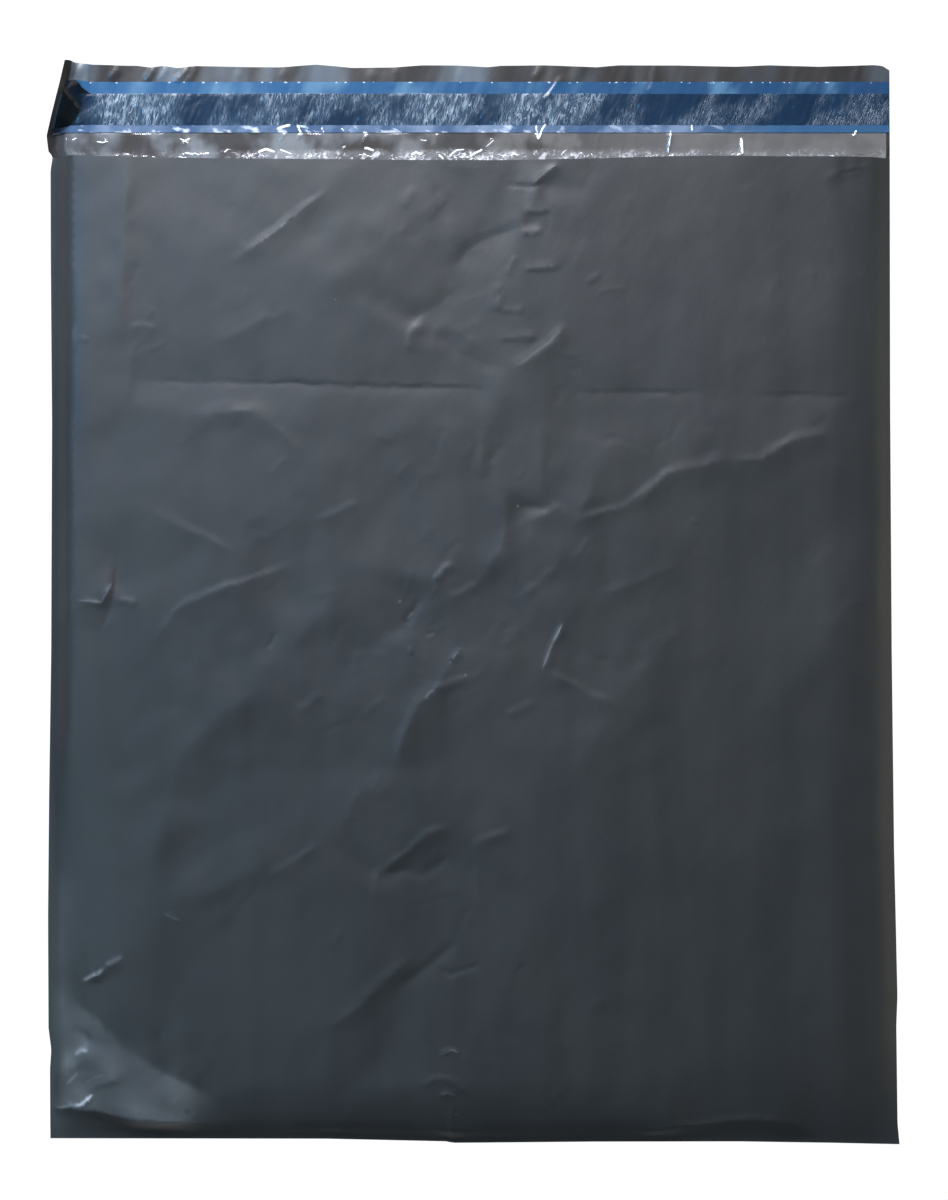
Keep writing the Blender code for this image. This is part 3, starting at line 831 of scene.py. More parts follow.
def away_from(points, lines, distance):
    """Whether each point is further than a distance from all the points of lines."""
    cells = {}
    for line in lines:
        for x, y in line:
            cells.setdefault((int(x // distance), int(y // distance)), []).append((x, y))
    keep = np.ones(len(points), bool)
    for index, (x, y) in enumerate(points):
        i, j = int(x // distance), int(y // distance)
        for ni in (i - 1, i, i + 1):
            for nj in (j - 1, j, j + 1):
                for px, py in cells.get((ni, nj), ()):
                    if (px - x) ** 2 + (py - y) ** 2 < distance**2:
                        keep[index] = False
    return keep


def near_crease(points, lines, reach):
    """Whether each point lies within reach of a crease."""
    close = np.zeros(len(points), bool)
    for _, _, _, route in lines:
        box = np.all((points > route.min(0) - reach) & (points < route.max(0) + reach), axis=1)
        chosen = points[box]
        hit = np.zeros(len(chosen), bool)
        for place in spaced_route(route, reach / 2):
            hit |= np.hypot(*(chosen - place).T) < reach
        close[np.flatnonzero(box)[hit]] = True
    return close


def filler(box, step, fixed, room, near=None):
    """Plan points in staggered rows over a box, clear of fixed ones, and near creases if asked."""
    points = lattice(*box, step)
    if near:
        points = points[near_crease(points, *near)]
    return points[away_from(points, fixed, room)]


def triangulate(outline, lines, free):
    """(points, triangles) inside an outline, with every line among the edges."""
    points, edges = [Vector(p) for p in outline], []
    for line in lines:
        edges += [(len(points) + i, len(points) + i + 1) for i in range(len(line) - 1)]
        points += [Vector(p) for p in line]
    points += [Vector(p) for p in free]
    made = delaunay_2d_cdt(points, edges, [list(range(len(outline)))], 1, NEAR / 4)
    return np.array([tuple(p) for p in made[0]]), np.array(made[2])


def in_box(points, triangles, low, high):
    """Whether the middle of each triangle lies in a box."""
    middle = points[triangles].mean(axis=1)
    return np.all((middle > low) & (middle < high), axis=1)


def rim(faces):
    """The edges that only one face has, in that face's direction."""
    edges = {(f[i], f[(i + 1) % len(f)]) for f in faces.tolist() for i in range(len(f))}
    return np.array([(a, b) for a, b in edges if (b, a) not in edges])


class Solid:
    """Faces gathered from several surfaces, welded into one mesh at the end."""

    def __init__(self):
        self.points, self.flats, self.faces, self.slots, self.count = [], [], [], [], 0

    def add(self, points, flat, faces, slot=0):
        """Adds faces over points; flat holds where each point lies on the flat film."""
        self.points.append(np.asarray(points))
        self.flats.append(np.column_stack([flat, np.zeros(len(flat))]))
        self.faces += (np.asarray(faces) + self.count).tolist()
        self.slots += [slot] * len(faces)
        self.count += len(points)

    def wall(self, low, high, flat, edges, slot=0):
        """A wall between two rows of points, over the same edges."""
        row = len(low)
        quads = [(a, b, b + row, a + row) for a, b in edges.tolist()]
        self.add(np.vstack([low, high]), np.vstack([flat, flat]), quads, slot)

    def finish(self, name, materials):
        """The welded mesh as an object of the scene."""
        data = bpy.data.meshes.new(name)
        data.from_pydata(np.vstack(self.points).tolist(), [], self.faces)
        for finish in materials:
            data.materials.append(finish)
        data.polygons.foreach_set("material_index", self.slots)
        places = data.attributes.new(FLAT, "FLOAT_VECTOR", "POINT")
        places.data.foreach_set("vector", np.vstack(self.flats).ravel())
        work = bmesh.new()
        work.from_mesh(data)
        bmesh.ops.remove_doubles(work, verts=work.verts, dist=NEAR)
        loose = [v for v in work.verts if not v.link_faces]
        bmesh.ops.delete(work, geom=loose, context="VERTS")
        bmesh.ops.triangulate(work, faces=[f for f in work.faces if len(f.verts) > 3])
        work.to_mesh(data)
        work.free()
        data.shade_smooth()
        data.set_sharp_from_angle(angle=SHARP_ANGLE)
        made = bpy.data.objects.new(name, data)
        bpy.context.scene.collection.objects.link(made)
        return made


def paint_highlights(made, lines, above=-1.0):
    """Stores how strong the painted highlight is at each point over a height, along the lines."""
    data = made.data
    places = np.zeros(len(data.vertices) * 3)
    data.vertices.foreach_get("co", places)
    flat = np.zeros(len(data.vertices) * 3)
    data.attributes[FLAT].data.foreach_get("vector", flat)
    share = crease_height(flat.reshape(-1, 3)[:, :2], lines) / MM
    share *= places[2::3] > above
    data.attributes.new(HIGHLIGHT_ATTRIBUTE, "FLOAT", "POINT").data.foreach_set("value", share)


def wandered(plan):
    """The plan points of a straight outline, moved so that its edges wander as the film's do."""
    x, y = plan.T
    left, right = wander(y, LEFT_EDGE), wander(y, RIGHT_EDGE)
    reach = 12 * MM
    move_x = -left * smooth(1 - (x - LEFT) / reach) + right * smooth(1 - (RIGHT - x) / reach)
    low = -wander(x, BOTTOM_EDGE) * smooth(1 - (y - BOTTOM) / reach)
    high = wander(x, FLAP_EDGE) * smooth(1 - (FLAP_END - y) / (5 * MM))
    return np.column_stack([x + move_x, y + low + high])


def make_bag(outer, inner):
    """The film: back panel with flap, front panel and its inner face in one welded skin."""
    low, high = np.array([LEFT + WELD, BOTTOM + WELD]), np.array([RIGHT - WELD, MOUTH])
    mouth = spaced((low[0], MOUTH), high, MOUTH_STEP)
    pocket = spaced_route([(low[0], MOUTH), low, (high[0], low[1]), high], 2 * EDGE_STEP)
    corners = [(LEFT, MOUTH), (LEFT, BOTTOM), (RIGHT, BOTTOM), (RIGHT, MOUTH)]
    body = spaced_route(corners, EDGE_STEP)
    corners = [(RIGHT, MOUTH), (RIGHT, FLAP_END), (LEFT, FLAP_END), (LEFT, MOUTH)]
    flap = spaced_route(corners, FLAP_STEP)
    solid = Solid()
    add_back(solid, low, high, np.vstack([body, flap[1:-1]]), pocket, mouth)
    add_front(solid, low, high, np.vstack([body, mouth[::-1]]))
    add_ceiling(solid, low, high, pocket, mouth)
    return solid.finish("mailer_film", [outer, inner])


def add_back(solid, low, high, outline, pocket, mouth):
    """The back panel with the flap, and the pocket's floor."""
    lips = [np.array([(LEFT, MOUTH), (low[0], MOUTH)]), np.array([high, (RIGHT, MOUTH)])]
    creases = [spaced_route(route, BACK_STEP) for _, _, _, route in BACK_LINES]
    fixed = [outline, pocket, mouth[::4], *creases]
    free = filler(BODY, BACK_STEP, fixed, BACK_STEP * ROOM)
    crowd = filler(BODY, BACK_FINE, [*fixed, free], BACK_ROOM, (BACK_LINES, BACK_STEP))
    leaf = filler(FLAP, FLAP_STEP, [outline, mouth], FLAP_STEP * ROOM)
    lines = [pocket, lips[0], mouth, lips[1], *creases]
    points, triangles = triangulate(outline, lines, np.vstack([free, crowd, leaf]))
    inner = in_box(points, triangles, *FLAP) | in_box(points, triangles, low, high)
    plan, lift = wandered(points), back_height(points)
    under, floor = flap_place(plan, lift), flap_place(plan, lift + FILM)
    solid.add(under, points, triangles[:, ::-1], 0)
    solid.add(floor, points, triangles[inner], 1)
    solid.wall(under, floor, points, rim(triangles), 0)


def add_front(solid, low, high, outline):
    """The front panel, with every crease among its edges, and the welds below its rim."""
    # The narrow painted highlights are edges of the mesh too
    marks = [line for line in HIGHLIGHT_LINES if max(line[1:3]) < 2 * MM]
    routes = [spaced_route(route, CREASE_STEP) for _, _, _, route in CREASES + marks]
    rolls = []
    for share in ROLL_SHARES:
        left, right = low[0] + share * SIDE_ROLL, high[0] - share * RIGHT_ROLL
        end, top = low[1] + share * BOTTOM_REACH, MOUTH - 1.5 * MM
        corners = [(left, top), (left, end), (right, end), (right, top)]
        rolls.append(spaced_route(corners, ROLL_STEP))
    fixed = [outline, *routes, *rolls]
    crowd = filler(BODY, FINE, fixed, FINE * ROOM, (CREASES + marks, FINE_REACH))
    free = filler(BODY, PLAIN, [*fixed, crowd], PLAIN * PLAIN_ROOM)
    points, triangles = triangulate(outline, [*routes, *rolls], np.vstack([crowd, free]))
    plan = wandered(points)
    top = np.column_stack([mouth_moved(plan), front_height(points)])
    solid.add(top, points, triangles, 0)
    edge = rim(triangles)
    at_mouth = np.all(points[edge][:, :, 1] > MOUTH - NEAR, axis=1)
    open_edge = at_mouth & np.all(np.abs(points[edge][:, :, 0]) < high[0] + NEAR, axis=1)
    seam = flap_place(plan, back_height(points) + FILM)
    solid.wall(seam, top, points, edge[~open_edge], 0)


def add_ceiling(solid, low, high, pocket, mouth):
    """The coarse inner face of the front panel, and its cut edge along the mouth."""
    outline = np.vstack([pocket, mouth[-2:0:-1]])
    free = filler((low, high), CEILING_STEP, [outline], CEILING_STEP * ROOM)
    points, triangles = triangulate(outline, [], free)
    plan = wandered(points)
    x, y = points.T
    on_edge = (np.abs(x - low[0]) < NEAR) | (np.abs(x - high[0]) < NEAR)
    on_edge |= np.abs(y - low[1]) < NEAR
    drop = FILM + (CEILING_DROP - FILM) * smooth((MOUTH - y) / (6 * MM))
    front = front_height(points)
    height = np.where(y > MOUTH - NEAR, front - FILM, broad_height(points) - drop)
    floor = back_height(points) + FILM
    height = np.where(on_edge, floor, np.maximum(height, floor))
    place = np.column_stack([mouth_moved(plan), height])
    place[on_edge] = np.column_stack([plan[on_edge], floor[on_edge]])
    solid.add(place, points, triangles[:, ::-1], 1)
    edge = rim(triangles)
    at_mouth = np.all(points[edge][:, :, 1] > MOUTH - NEAR, axis=1)
    above = np.column_stack([mouth_moved(plan), front])
    solid.wall(place, above, points, edge[at_mouth], 0)


def mouth_moved(plan):
    """Plan points of the front panel, with its mouth edge cut as the film's is."""
    x, y = plan.T
    fade = smooth(1 - (MOUTH - y) / (8 * MM))
    inset = np.minimum(x - LEFT, RIGHT - x)
    fade = fade * smooth((inset - WELD) / (3 * MM))
    return np.column_stack([x, y + wander(x, MOUTH_EDGE) * fade])


def make_layer(name, low, high, lift, thickness, relief, finish, steps):
    """A thin layer on the flap, over a box, which its relief lifts here and there."""
    xs = np.linspace(low[0], high[0], max(2, round((high[0] - low[0]) / steps[0])) + 1)
    ys = np.linspace(low[1], high[1], max(2, round((high[1] - low[1]) / steps[1])) + 1)
    x, y = np.meshgrid(xs, ys)
    plan = np.column_stack([x.ravel(), y.ravel()])
    across = len(xs)
    corner = (np.arange(len(ys) - 1)[:, None] * across + np.arange(across - 1)).ravel()
    quads = np.column_stack([corner, corner + 1, corner + across + 1, corner + across])
    base = back_height(plan) + FILM + lift
    if relief:
        base += relief(plan)
    solid = Solid()
    lower = flap_place(plan, base)
    upper = flap_place(plan, base + thickness)
    solid.add(lower, plan, quads[:, ::-1])
    solid.add(upper, plan, quads)
    solid.wall(lower, upper, plan, rim(quads))
    return solid.finish(name, [finish])


def liner_relief(plan):
    """The crinkles of the liner where it is stuck down."""
    x, y = plan.T
    stuck = smooth((y - BAND_LOW.y) / MM) * smooth((ADHESIVE_END - y) / MM)
    fine = np.abs(noise(x - 0.4 * y, y, 2.2 * MM, 9 * MM, 31))
    fine += 0.6 * np.abs(noise(x - 0.1 * y, y, 1.6 * MM, 5 * MM, 32))
    crowd = smooth(0.5 + 0.9 * noise(x - 0.5 * y, y, 16 * MM, 30 * MM, 33))
    return 0.12 * MM * fine * crowd * stuck


def strip_relief(plan):
    """The puckers of the clear strip, which gather along the mouth."""
    x, y = plan.T
    crowd = smooth(0.55 + 0.9 * noise(x, y, 13 * MM, 9 * MM, 44))
    reach = (2.6 + 2.2 * noise(x, x, 12 * MM, 1, 45)) * MM
    gather = smooth(1.2 - (y - MOUTH) / reach) * smooth((y - MOUTH + 1.5 * MM) / (2 * MM))
    ruffle = np.abs(noise(x + 0.6 * y, y, 3.0 * MM, 2.2 * MM, 41))
    ruffle += 0.7 * np.abs(noise(x - 0.5 * y, y, 1.7 * MM, 1.5 * MM, 42))
    ruffle += 0.4 * np.abs(noise(x, y, MM, MM, 46))
    broad = np.abs(noise(x + 0.4 * y, y, 14 * MM, 10 * MM, 43))
    relief = 0.34 * MM * ruffle * gather * crowd + 0.22 * MM * broad
    return (relief + crease_height(plan, STRIP_LINES)) * smooth((LINER_LOW.y - y) / MM)


class Nodes:
    """A small helper that adds and links shader nodes."""

    def __init__(self, name):
        self.material = bpy.data.materials.new(name)
        self.material.use_nodes = True
        self.tree = self.material.node_tree
        self.shader = self.tree.nodes["Principled BSDF"]

    def add(self, kind, settings=None, **inputs):
        """A new node with its settings and its inputs."""
        node = self.tree.nodes.new(kind)
        for key, value in (settings or {}).items():
            setattr(node, key, value)
        for key, value in inputs.items():
            self.put(node.inputs[key.replace("_", " ")], value)
        return node

    def put(self, socket, value):
        """Links a socket to another one, or gives it a plain value."""
        if isinstance(value, bpy.types.NodeSocket):
            self.tree.links.new(value, socket)
        else:
            socket.default_value = value

    def set(self, **inputs):
        """Inputs of the material's own shader."""
        for key, value in inputs.items():
            self.put(self.shader.inputs[key.replace("_", " ")], value)

    def math(self, operation, first, second=0.0, third=0.0):
        node = self.tree.nodes.new("ShaderNodeMath")
        node.operation = operation
        for socket, value in zip(node.inputs, (first, second, third)):
            self.put(socket, value)
        return node.outputs[0]

    def times(self, first, *others):
        """The product of the values."""
        for other in others:
            first = self.math("MULTIPLY", first, other)
        return first

    def most(self, first, *others):
        """The largest of the values."""
        for other in others:
            first = self.math("MAXIMUM", first, other)
        return first

    def flat(self):
        """Where the point lies on the flat film."""
        return self.add("ShaderNodeAttribute", {"attribute_name": FLAT}).outputs["Vector"]

    def axes(self):
        """Where the point lies across and along the flat film."""
        split = self.add("ShaderNodeSeparateXYZ", Vector=self.flat())
        return split.outputs["X"], split.outputs["Y"]

    def bent(self, scale, size):
        """Places on the flat film, moved about by up to a size."""
        node = self.add("ShaderNodeVectorMath", {"operation": "MULTIPLY_ADD"})
        self.put(node.inputs[0], self.noise(scale, 2))
        node.inputs[1].default_value = (size, size, 0)
        self.put(node.inputs[2], self.flat())
        return node.outputs[0]

    def white(self):
        """How strong the point's painted highlight is."""
        return self.add("ShaderNodeAttribute", {"attribute_name": HIGHLIGHT_ATTRIBUTE}).outputs["Fac"]

    def glint_mask(self):
        """Whether the point lies on a painted glint."""
        return self.ramp(self.white(), 0.36, 0.56)

    def mapped(self, stretch=(1, 1, 1), lean=0.0, source=None):
        """Places on the flat film, turned by the lean and then stretched."""
        source = source or self.flat()
        turned = self.add("ShaderNodeMapping", Vector=source)
        turned.inputs["Rotation"].default_value = (0, 0, lean)
        mapping = self.add("ShaderNodeMapping", Vector=turned.outputs[0])
        mapping.inputs["Scale"].default_value = stretch
        return mapping.outputs[0]

    def noise(self, scale, detail=2.0, stretch=(1, 1, 1), lean=0.0, source=None):
        """Soft noise on the flat film, stretched and leaning."""
        place = self.mapped(stretch, lean, source)
        node = self.add("ShaderNodeTexNoise", Vector=place, Scale=scale, Detail=detail)
        return node.outputs["Fac"]

    def lines(self, value, width):
        """Thin lines where a noise passes its middle value."""
        away = self.math("ABSOLUTE", self.math("SUBTRACT", value, 0.5))
        return self.ramp(away, 0.0, width, 1.0, 0.0)

    def ramp(self, value, low, high, start=0.0, end=1.0):
        """A smooth step from start to end while the value goes from low to high."""
        node = self.add("ShaderNodeMapRange", {"interpolation_type": "SMOOTHSTEP"}, Value=value)
        for key, number in zip(("From Min", "From Max", "To Min", "To Max"), (low, high, start, end)):
            self.put(node.inputs[key], number)
        return node.outputs[0]

    def mix(self, share, first, second):
        """The first colour, with a share of the second."""
        node = self.add("ShaderNodeMix", {"data_type": "RGBA"})
        self.put(node.inputs[0], share)
        self.put(node.inputs[6], (*first, 1) if isinstance(first, tuple) else first)
        self.put(node.inputs[7], (*second, 1) if isinstance(second, tuple) else second)
        return node.outputs[2]

    def bump(self, height, distance, strength=1.0, normal=None):
        """A surface direction that a height map turns."""
        node = self.add("ShaderNodeBump", Height=height, Distance=distance, Strength=strength)
        if normal is not None:
            self.put(node.inputs["Normal"], normal)
        return node.outputs[0]


def film_material(name, dark, light, roughness, sheen_colour=None):
    """Polyethylene film: satin, mottled, grainy, dusty; inside, painted sheen and seam shade;
    outside, painted highlights.
    """
    nodes = Nodes(name)
    colour = nodes.mix(nodes.ramp(nodes.noise(14, 3), 0.3, 0.7), dark, light)
    specks = nodes.add("ShaderNodeTexVoronoi", Vector=nodes.mapped(), Scale=60.0)
    dust = nodes.ramp(specks.outputs["Distance"], 0.020, 0.030, 1.0, 0.0)
    rare = nodes.ramp(nodes.noise(22, 1), 0.60, 0.66)
    colour = nodes.mix(nodes.times(dust, rare), colour, DUST)
    streak = nodes.noise(60, 2, (1, 0.12, 1))
    shine = nodes.ramp(streak, 0.25, 0.75, roughness - 0.04, roughness + 0.05)
    if sheen_colour:
        x, _ = nodes.axes()
        # Painted shade on the seam strip along the left edge, which is also made rougher
        shaded_seam = nodes.ramp(x, LEFT + 3 * MM, LEFT + 5 * MM, 1.0, 0.0)
        colour = nodes.mix(shaded_seam, colour, SEAM_SHADE)
        colour = nodes.mix(sheen_streaks(nodes, x, shaded_seam), colour, sheen_colour)
        shine = nodes.most(shine, nodes.times(shaded_seam, 0.75))
    else:
        # Painted highlights and lit patches, stronger where the attribute is high
        pale = nodes.white()
        colour = nodes.mix(nodes.times(pale, pale), colour, PAINTED_HIGHLIGHT)
    grain = nodes.bump(nodes.noise(900, 2), 0.02 * MM, 0.6)
    soft = nodes.bump(nodes.noise(110, 3, (1, 0.5, 1), 0.5), 0.25 * MM, 0.5, grain)
    nodes.set(Base_Color=colour, Roughness=shine, IOR=1.5, Normal=soft)
    return nodes.material


def sheen_streaks(nodes, x, shaded_seam):
    """Where the flap gets painted sheen: in streaks that fade to the right, and beside its bent
    corner.
    """
    streak = nodes.ramp(nodes.noise(48, 2, (1, 0.18, 1), 0.22), 0.46, 0.72)
    streak = nodes.times(streak, nodes.ramp(x, -0.03, 0.16, 1.0, 0.4))
    by_corner = nodes.ramp(x, LEFT + 13 * MM, LEFT + 16 * MM, 1.0, 0.0)
    past_tip = nodes.ramp(x, LEFT + 6 * MM, LEFT + 8 * MM)
    streak = nodes.most(streak, nodes.times(by_corner, past_tip))
    return nodes.times(streak, nodes.ramp(shaded_seam, 0, 1, 1.0, 0.0))


def liner_material():
    """Blue release film: light where it lies dry, dark with pale veins where it is stuck."""
    nodes = Nodes("liner_blue")
    x, y = nodes.axes()
    rough_y = nodes.math("ADD", y, nodes.times(nodes.noise(400, 2), 0.5 * MM))
    low = nodes.ramp(rough_y, BAND_LOW.y + 0.1 * MM, BAND_LOW.y + 0.5 * MM)
    high = nodes.ramp(rough_y, ADHESIVE_END, ADHESIVE_END + 0.4 * MM, 1.0, 0.0)
    stuck = nodes.times(low, high)

    veins = liner_veins(nodes)
    crowd = nodes.times(nodes.noise(30, 2, (1, 0.5, 1), 0.9), 0.45)
    crowd = nodes.math("MULTIPLY_ADD", nodes.noise(85, 4, (1, 0.40, 1), 0.6), 0.55, crowd)
    crowd = nodes.ramp(crowd, 0.42, 0.59)
    colour = nodes.mix(stuck, dry_blue(nodes, x, y), stuck_blue(nodes, x, veins, crowd))
    # Painted glints where the strip's folds run over the liner
    colour = nodes.mix(nodes.glint_mask(), colour, (0.90, 0.93, 0.97))
    ridge = nodes.bump(nodes.times(stuck, crowd, veins), 0.06 * MM, 0.8)
    crinkle = nodes.bump(nodes.noise(300, 3), 0.04 * MM, 0.5, ridge)
    shine = nodes.ramp(stuck, 0, 1, 0.24, 0.22)
    nodes.set(Base_Color=colour, Roughness=shine, IOR=1.42, Normal=crinkle)
    return nodes.material


def dry_blue(nodes, x, y):
    """The liner's two light edges: a blue one above the band, and a milky one below it, with painted
    shade at the bent corner.
    """
    # The blue edge is painted darker towards the right, as the light falls off across the flap
    upper = nodes.mix(nodes.ramp(x, -0.10, 0.17), (0.022, 0.090, 0.195), (0.015, 0.052, 0.120))
    pale = nodes.ramp(nodes.noise(60, 3, (1, 0.4, 1), 0.4), 0.50, 0.72)
    upper = nodes.mix(pale, upper, (0.085, 0.185, 0.290))
    # Painted glints dotted along the top edge
    edge_glints = nodes.ramp(nodes.noise(520, 1), 0.60, 0.66)
    top_edge = nodes.ramp(y, LINER_END - 0.7 * MM, LINER_END - 0.3 * MM)
    upper = nodes.mix(nodes.times(edge_glints, top_edge, 0.8), upper, (0.55, 0.62, 0.70))

    haze = nodes.ramp(nodes.noise(75, 3, (1, 0.5, 1), 0.5), 0.40, 0.62)
    lower = nodes.mix(haze, (0.050, 0.095, 0.175), (0.150, 0.210, 0.310))
    milk = nodes.ramp(nodes.noise(240, 3, (0.5, 1, 1), 0.3), 0.56, 0.68)
    milk = nodes.times(milk, nodes.ramp(x, -0.02, 0.08, 1.0, 0.35))
    lower = nodes.mix(milk, lower, (0.52, 0.58, 0.68))
    lower = nodes.mix(nodes.ramp(x, 0.095, 0.130), lower, (0.032, 0.090, 0.180))

    middle = (BAND_LOW.y + ADHESIVE_END) / 2
    above = nodes.ramp(y, middle, middle + 0.1 * MM)
    colour = nodes.mix(above, lower, upper)
    # Painted shade: the bent corner's steep side goes near black left of its diagonal crease, and by
    # the edge
    diagonal = nodes.math("MULTIPLY_ADD", y, 1.7, x)
    line = LEFT + 9.0 * MM + 1.7 * (LINER_END - 0.5 * MM)
    corner = nodes.ramp(diagonal, line - 0.6 * MM, line + 0.6 * MM, 1.0, 0.0)
    colour = nodes.mix(nodes.times(corner, above), colour, (0.002, 0.004, 0.008))
    corner_shade = nodes.ramp(x, LEFT + 4 * MM, LEFT + 9 * MM, 0.85, 0.0)
    return nodes.mix(corner_shade, colour, (0.006, 0.008, 0.014))


def liner_veins(nodes):
    """Thin veins of several sizes and leans."""
    bent = nodes.bent(160, 1.4 * MM)
    veins = 0.0
    for scale, stretch, lean, width in (
        (480.0, 0.10, 0.36, 0.030),
        (640.0, 0.11, 0.16, 0.034),
        (900.0, 0.14, 0.30, 0.036),
        (700.0, 0.12, -0.12, 0.024),
    ):
        strands = nodes.noise(scale, 1.0, (1, stretch, 1), lean, bent)
        veins = nodes.most(veins, nodes.lines(strands, width))
    return veins


def stuck_blue(nodes, x, veins, crowd):
    """The liner over the band: deep blue, with haze and veins in crowds, and painted shade at its
    bent corner.
    """
    side = nodes.ramp(x, -0.02, 0.13, 1.0, 0.28)
    uneven = nodes.ramp(nodes.noise(420, 3, (1, 0.5, 1), 0.3), 0.38, 0.62, 0.15, 1.0)
    colour = nodes.mix(nodes.noise(40, 2), (0.004, 0.014, 0.034), (0.010, 0.030, 0.062))
    colour = nodes.mix(nodes.times(crowd, side, 0.55), colour, (0.048, 0.085, 0.125))
    colour = nodes.mix(nodes.times(veins, crowd, side, uneven), colour, (0.30, 0.37, 0.44))
    vivid = nodes.ramp(nodes.noise(430, 2, (1, 0.4, 1), 0.4), 0.66, 0.74)
    vivid = nodes.times(vivid, nodes.ramp(x, -0.09, -0.03, 0.0, 0.8), side)
    colour = nodes.mix(vivid, colour, (0.020, 0.110, 0.240))
    # Painted shade by the bent corner, fading to the right
    rough_x = nodes.math("ADD", x, nodes.times(nodes.noise(150, 2), 4 * MM))
    corner = nodes.ramp(rough_x, LEFT + 9 * MM, LEFT + 22 * MM, 1.0, 0.0)
    return nodes.mix(corner, colour, (0.004, 0.009, 0.013))


def strip_material():
    """Hazy clear film over the dark film below it, milky where it gathers, with painted sparkles
    there and painted glints on its folds.
    """
    nodes = Nodes("strip_clear")
    x, y = nodes.axes()
    rough_y = nodes.math("ADD", y, nodes.times(nodes.noise(90, 2), 5.0 * MM))
    gather = nodes.ramp(rough_y, MOUTH + 3.5 * MM, MOUTH + 7.0 * MM, 1.0, 0.0)
    from_left = nodes.ramp(x, -0.108, -0.088, 0.22, 1.0)
    gather = nodes.times(gather, from_left, nodes.ramp(x, 0.154, 0.166, 1.0, 0.35))
    patch = nodes.ramp(nodes.noise(55, 3, (1, 0.8, 1)), 0.38, 0.62)
    fleck = nodes.ramp(nodes.noise(420, 3, (1, 0.6, 1), 0.5), 0.50, 0.62)
    milky = nodes.times(gather, nodes.most(fleck, 0.34), nodes.ramp(x, 0.03, 0.12, 1.0, 0.50))
    brown = nodes.mix(nodes.ramp(x, -0.12, 0.03), (0.26, 0.28, 0.30), (0.185, 0.180, 0.175))
    dull = nodes.ramp(x, 0.0, 0.09)
    haze = nodes.mix(nodes.most(patch, dull), (0.085, 0.080, 0.077), brown)
    colour = nodes.mix(milky, haze, (0.50, 0.50, 0.51))

    # Painted sparkles: thin white strokes in clusters where the strip gathers, fewer to the right
    bent = nodes.bent(210, 3 * MM)
    first = nodes.lines(nodes.noise(330, 1.5, (0.55, 1, 1), 0.5, bent), 0.030)
    second = nodes.lines(nodes.noise(520, 1.5, (0.6, 1, 1), -0.4, bent), 0.030)
    cluster = nodes.ramp(nodes.noise(85, 3, (0.8, 1, 1)), 0.47, 0.60)
    to_right = nodes.ramp(x, 0.03, 0.12, 1.0, 0.45)
    painted_sparkle = nodes.times(nodes.most(first, second), cluster, gather, to_right)
    painted_glints = nodes.most(nodes.times(painted_sparkle, 0.9), nodes.glint_mask())
    colour = nodes.mix(painted_glints, colour, (0.93, 0.94, 0.96))
    cover = nodes.most(nodes.ramp(patch, 0, 1, 0.46, 0.66), milky, painted_glints)
    wrinkle = nodes.bump(nodes.noise(420, 2, (1, 0.7, 1), 0.4), 0.10 * MM, 0.6)
    nodes.set(Base_Color=colour, Alpha=cover, Roughness=0.14, IOR=1.5, Normal=wrinkle)
    return nodes.material


def adhesive_material():
    """Tacky hot-melt, dark over the film."""
    nodes = Nodes("adhesive_melt")
    colour = nodes.mix(nodes.noise(200, 2), (0.020, 0.036, 0.060), (0.040, 0.060, 0.085))
    dimple = nodes.bump(nodes.noise(500, 2), 0.05 * MM, 0.6)
    nodes.set(Base_Color=colour, Roughness=0.22, IOR=1.48, Normal=dimple)
    return nodes.material


def floor_material():
    """A pale floor that the camera sees as white, with the bag's shadow kept."""
    nodes = Nodes("floor_white")
    tree = nodes.tree
    nodes.set(Base_Color=(0.9, 0.9, 0.9, 1), Roughness=0.9, Specular_IOR_Level=0.0)
    path = nodes.add("ShaderNodeLightPath")
    kinds = ("Is Camera Ray", "Is Glossy Ray", "Is Transmission Ray")
    seen = nodes.most(*(path.outputs[kind] for kind in kinds))
    glow = nodes.add("ShaderNodeEmission", Color=(1, 1, 1, 1), Strength=1.06)
    blend = nodes.add("ShaderNodeMixShader", Fac=nodes.times(seen, 0.93))
    tree.links.new(nodes.shader.outputs[0], blend.inputs[1])
    tree.links.new(glow.outputs[0], blend.inputs[2])
    tree.links.new(blend.outputs[0], tree.nodes["Material Output"].inputs["Surface"])
    return nodes.material


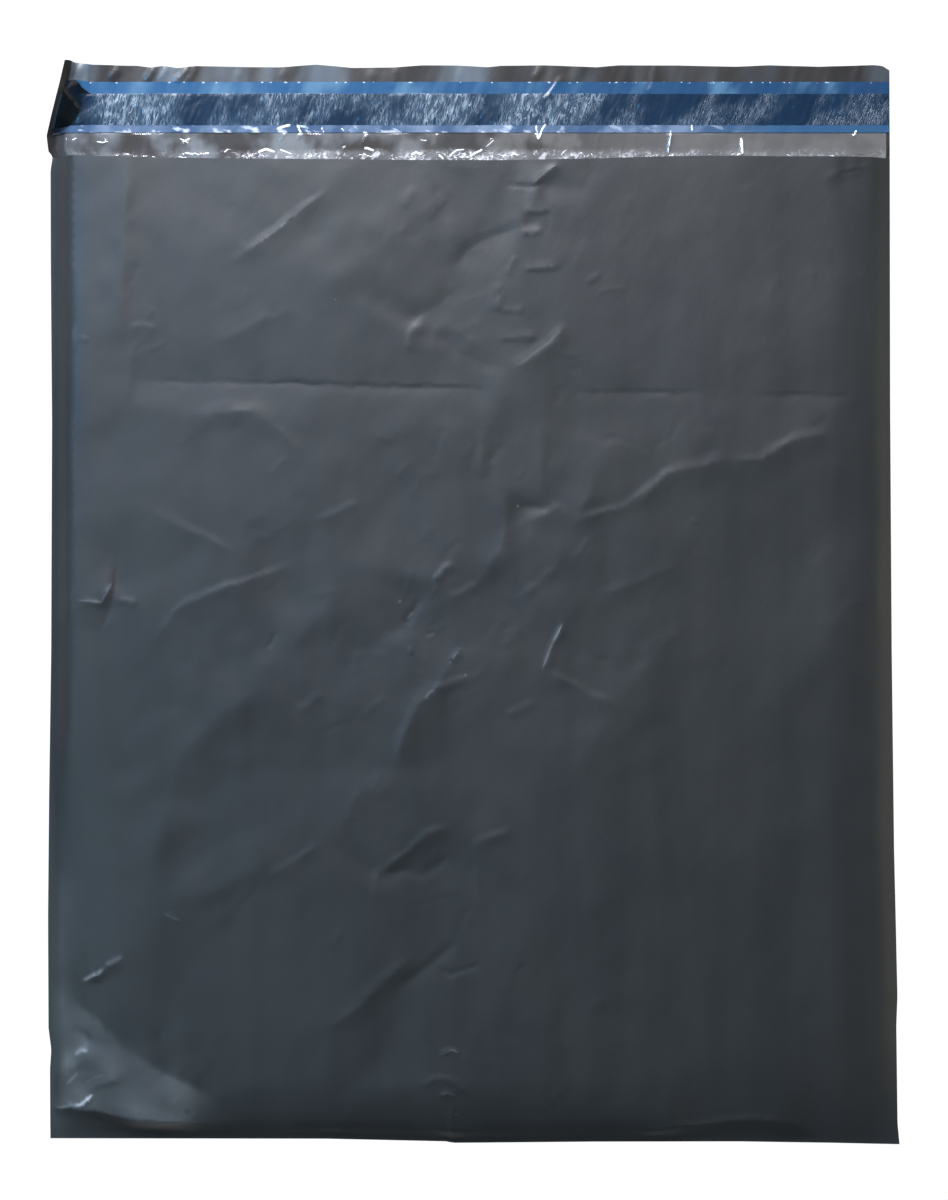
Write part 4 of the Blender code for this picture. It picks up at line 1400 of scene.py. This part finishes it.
def make_stage():
    """The floor, the world, the lamps and the camera."""
    bpy.ops.mesh.primitive_plane_add(size=FLOOR_SIZE, location=(0, 0, -FLOOR_DROP))
    floor = bpy.context.object
    floor.name = "floor"
    floor.data.materials.append(floor_material())

    scene = bpy.context.scene
    scene.view_settings.view_transform = "Standard"
    scene.world = bpy.data.worlds.new("room")
    scene.world.use_nodes = True
    ground = scene.world.node_tree.nodes["Background"]
    ground.inputs["Color"].default_value = ROOM_TINT
    ground.inputs["Strength"].default_value = ROOM_STRENGTH

    for name, place, width, power, tint in LAMPS:
        data = bpy.data.lights.new(name, "AREA")
        data.shape, data.size = "SQUARE", width
        data.energy, data.color = power, tint
        lamp = bpy.data.objects.new(name, data)
        lamp.location = place
        lamp.rotation_euler = (-Vector(place)).to_track_quat("-Z", "Y").to_euler()
        scene.collection.objects.link(lamp)

    data = bpy.data.cameras.new("camera")
    data.sensor_fit, data.sensor_width = "HORIZONTAL", SENSOR
    data.lens = SENSOR * CAMERA_HEIGHT / (FRAME_PX[0] * PIXEL)
    data.shift_y = (CENTRE_PX[1] - FRAME_PX[1] / 2) / FRAME_PX[0]
    camera = bpy.data.objects.new("camera", data)
    camera.location = camera_place()
    camera.rotation_euler = (CAMERA_TILT, 0, 0)
    scene.collection.objects.link(camera)
    scene.camera = camera


# The creases and marks as plan points on the flat film, and the facets between them
MAIN_LINES = on_level(FOLDS + UPPER_CREASES + MIDDLE_CREASES + LOWER_CREASES, PUFF)
CREASES = MAIN_LINES + on_level(RIM_CREASES, PUFF) + scattered(SMALL_ZONES)
BROAD = on_level(SWELLS, PUFF)
FLAP_LINES = on_level(FLAP_CREASES, 0)
STRIP_LINES = on_level(STRIP_CREASES, 0)
GLINT_LINES = on_level(STRIP_GLINTS, 0)
BACK_LINES = in_metres(BACK_CREASES)
HIGHLIGHT_LINES = on_level(FILM_HIGHLIGHTS, PUFF)
FACETS = Facets(MAIN_LINES, *BODY, FACET_STEP, FACET_SWING)
SMALL_FACETS = Facets([], *BODY, SMALL_FACET_STEP, SMALL_FACET_SWING)

make_stage()

outer = film_material("film_outer", *OUTER_TONES, OUTER_ROUGHNESS)
inner = film_material("film_inner", *INNER_TONES, INNER_ROUGHNESS, PAINTED_SHEEN)
bag = make_bag(outer, inner)
paint_highlights(bag, HIGHLIGHT_LINES, ABOVE_BACK)
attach(bag, "root")
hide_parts("bag_film")

low, high = (BAND_LOW.x, BAND_LOW.y), (BAND_HIGH.x, ADHESIVE_END)
finish, steps = adhesive_material(), (1.4 * MM, 1.4 * MM)
band = make_layer("hot_melt_band", low, high, GAP, ADHESIVE, None, finish, steps)
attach(band, "root")
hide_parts("adhesive_band")

low, high = (STRIP_LEFT, STRIP_LOW.y), (STRIP_RIGHT, STRIP_END)
finish, steps = strip_material(), (0.5 * MM, 0.42 * MM)
strip = make_layer("clear_film_strip", low, high, GAP, SKIN, strip_relief, finish, steps)
paint_highlights(strip, GLINT_LINES)
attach(strip, "root")
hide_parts("clear_strip")

low, high = (LINER_LEFT, LINER_LOW.y), (LINER_RIGHT, LINER_END)
finish, steps = liner_material(), (0.6 * MM, 0.55 * MM)
lift = 2 * GAP + ADHESIVE
liner = make_layer("liner_film", low, high, lift, SKIN, liner_relief, finish, steps)
paint_highlights(liner, GLINT_LINES)
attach(liner, "root")
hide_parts("release_liner")
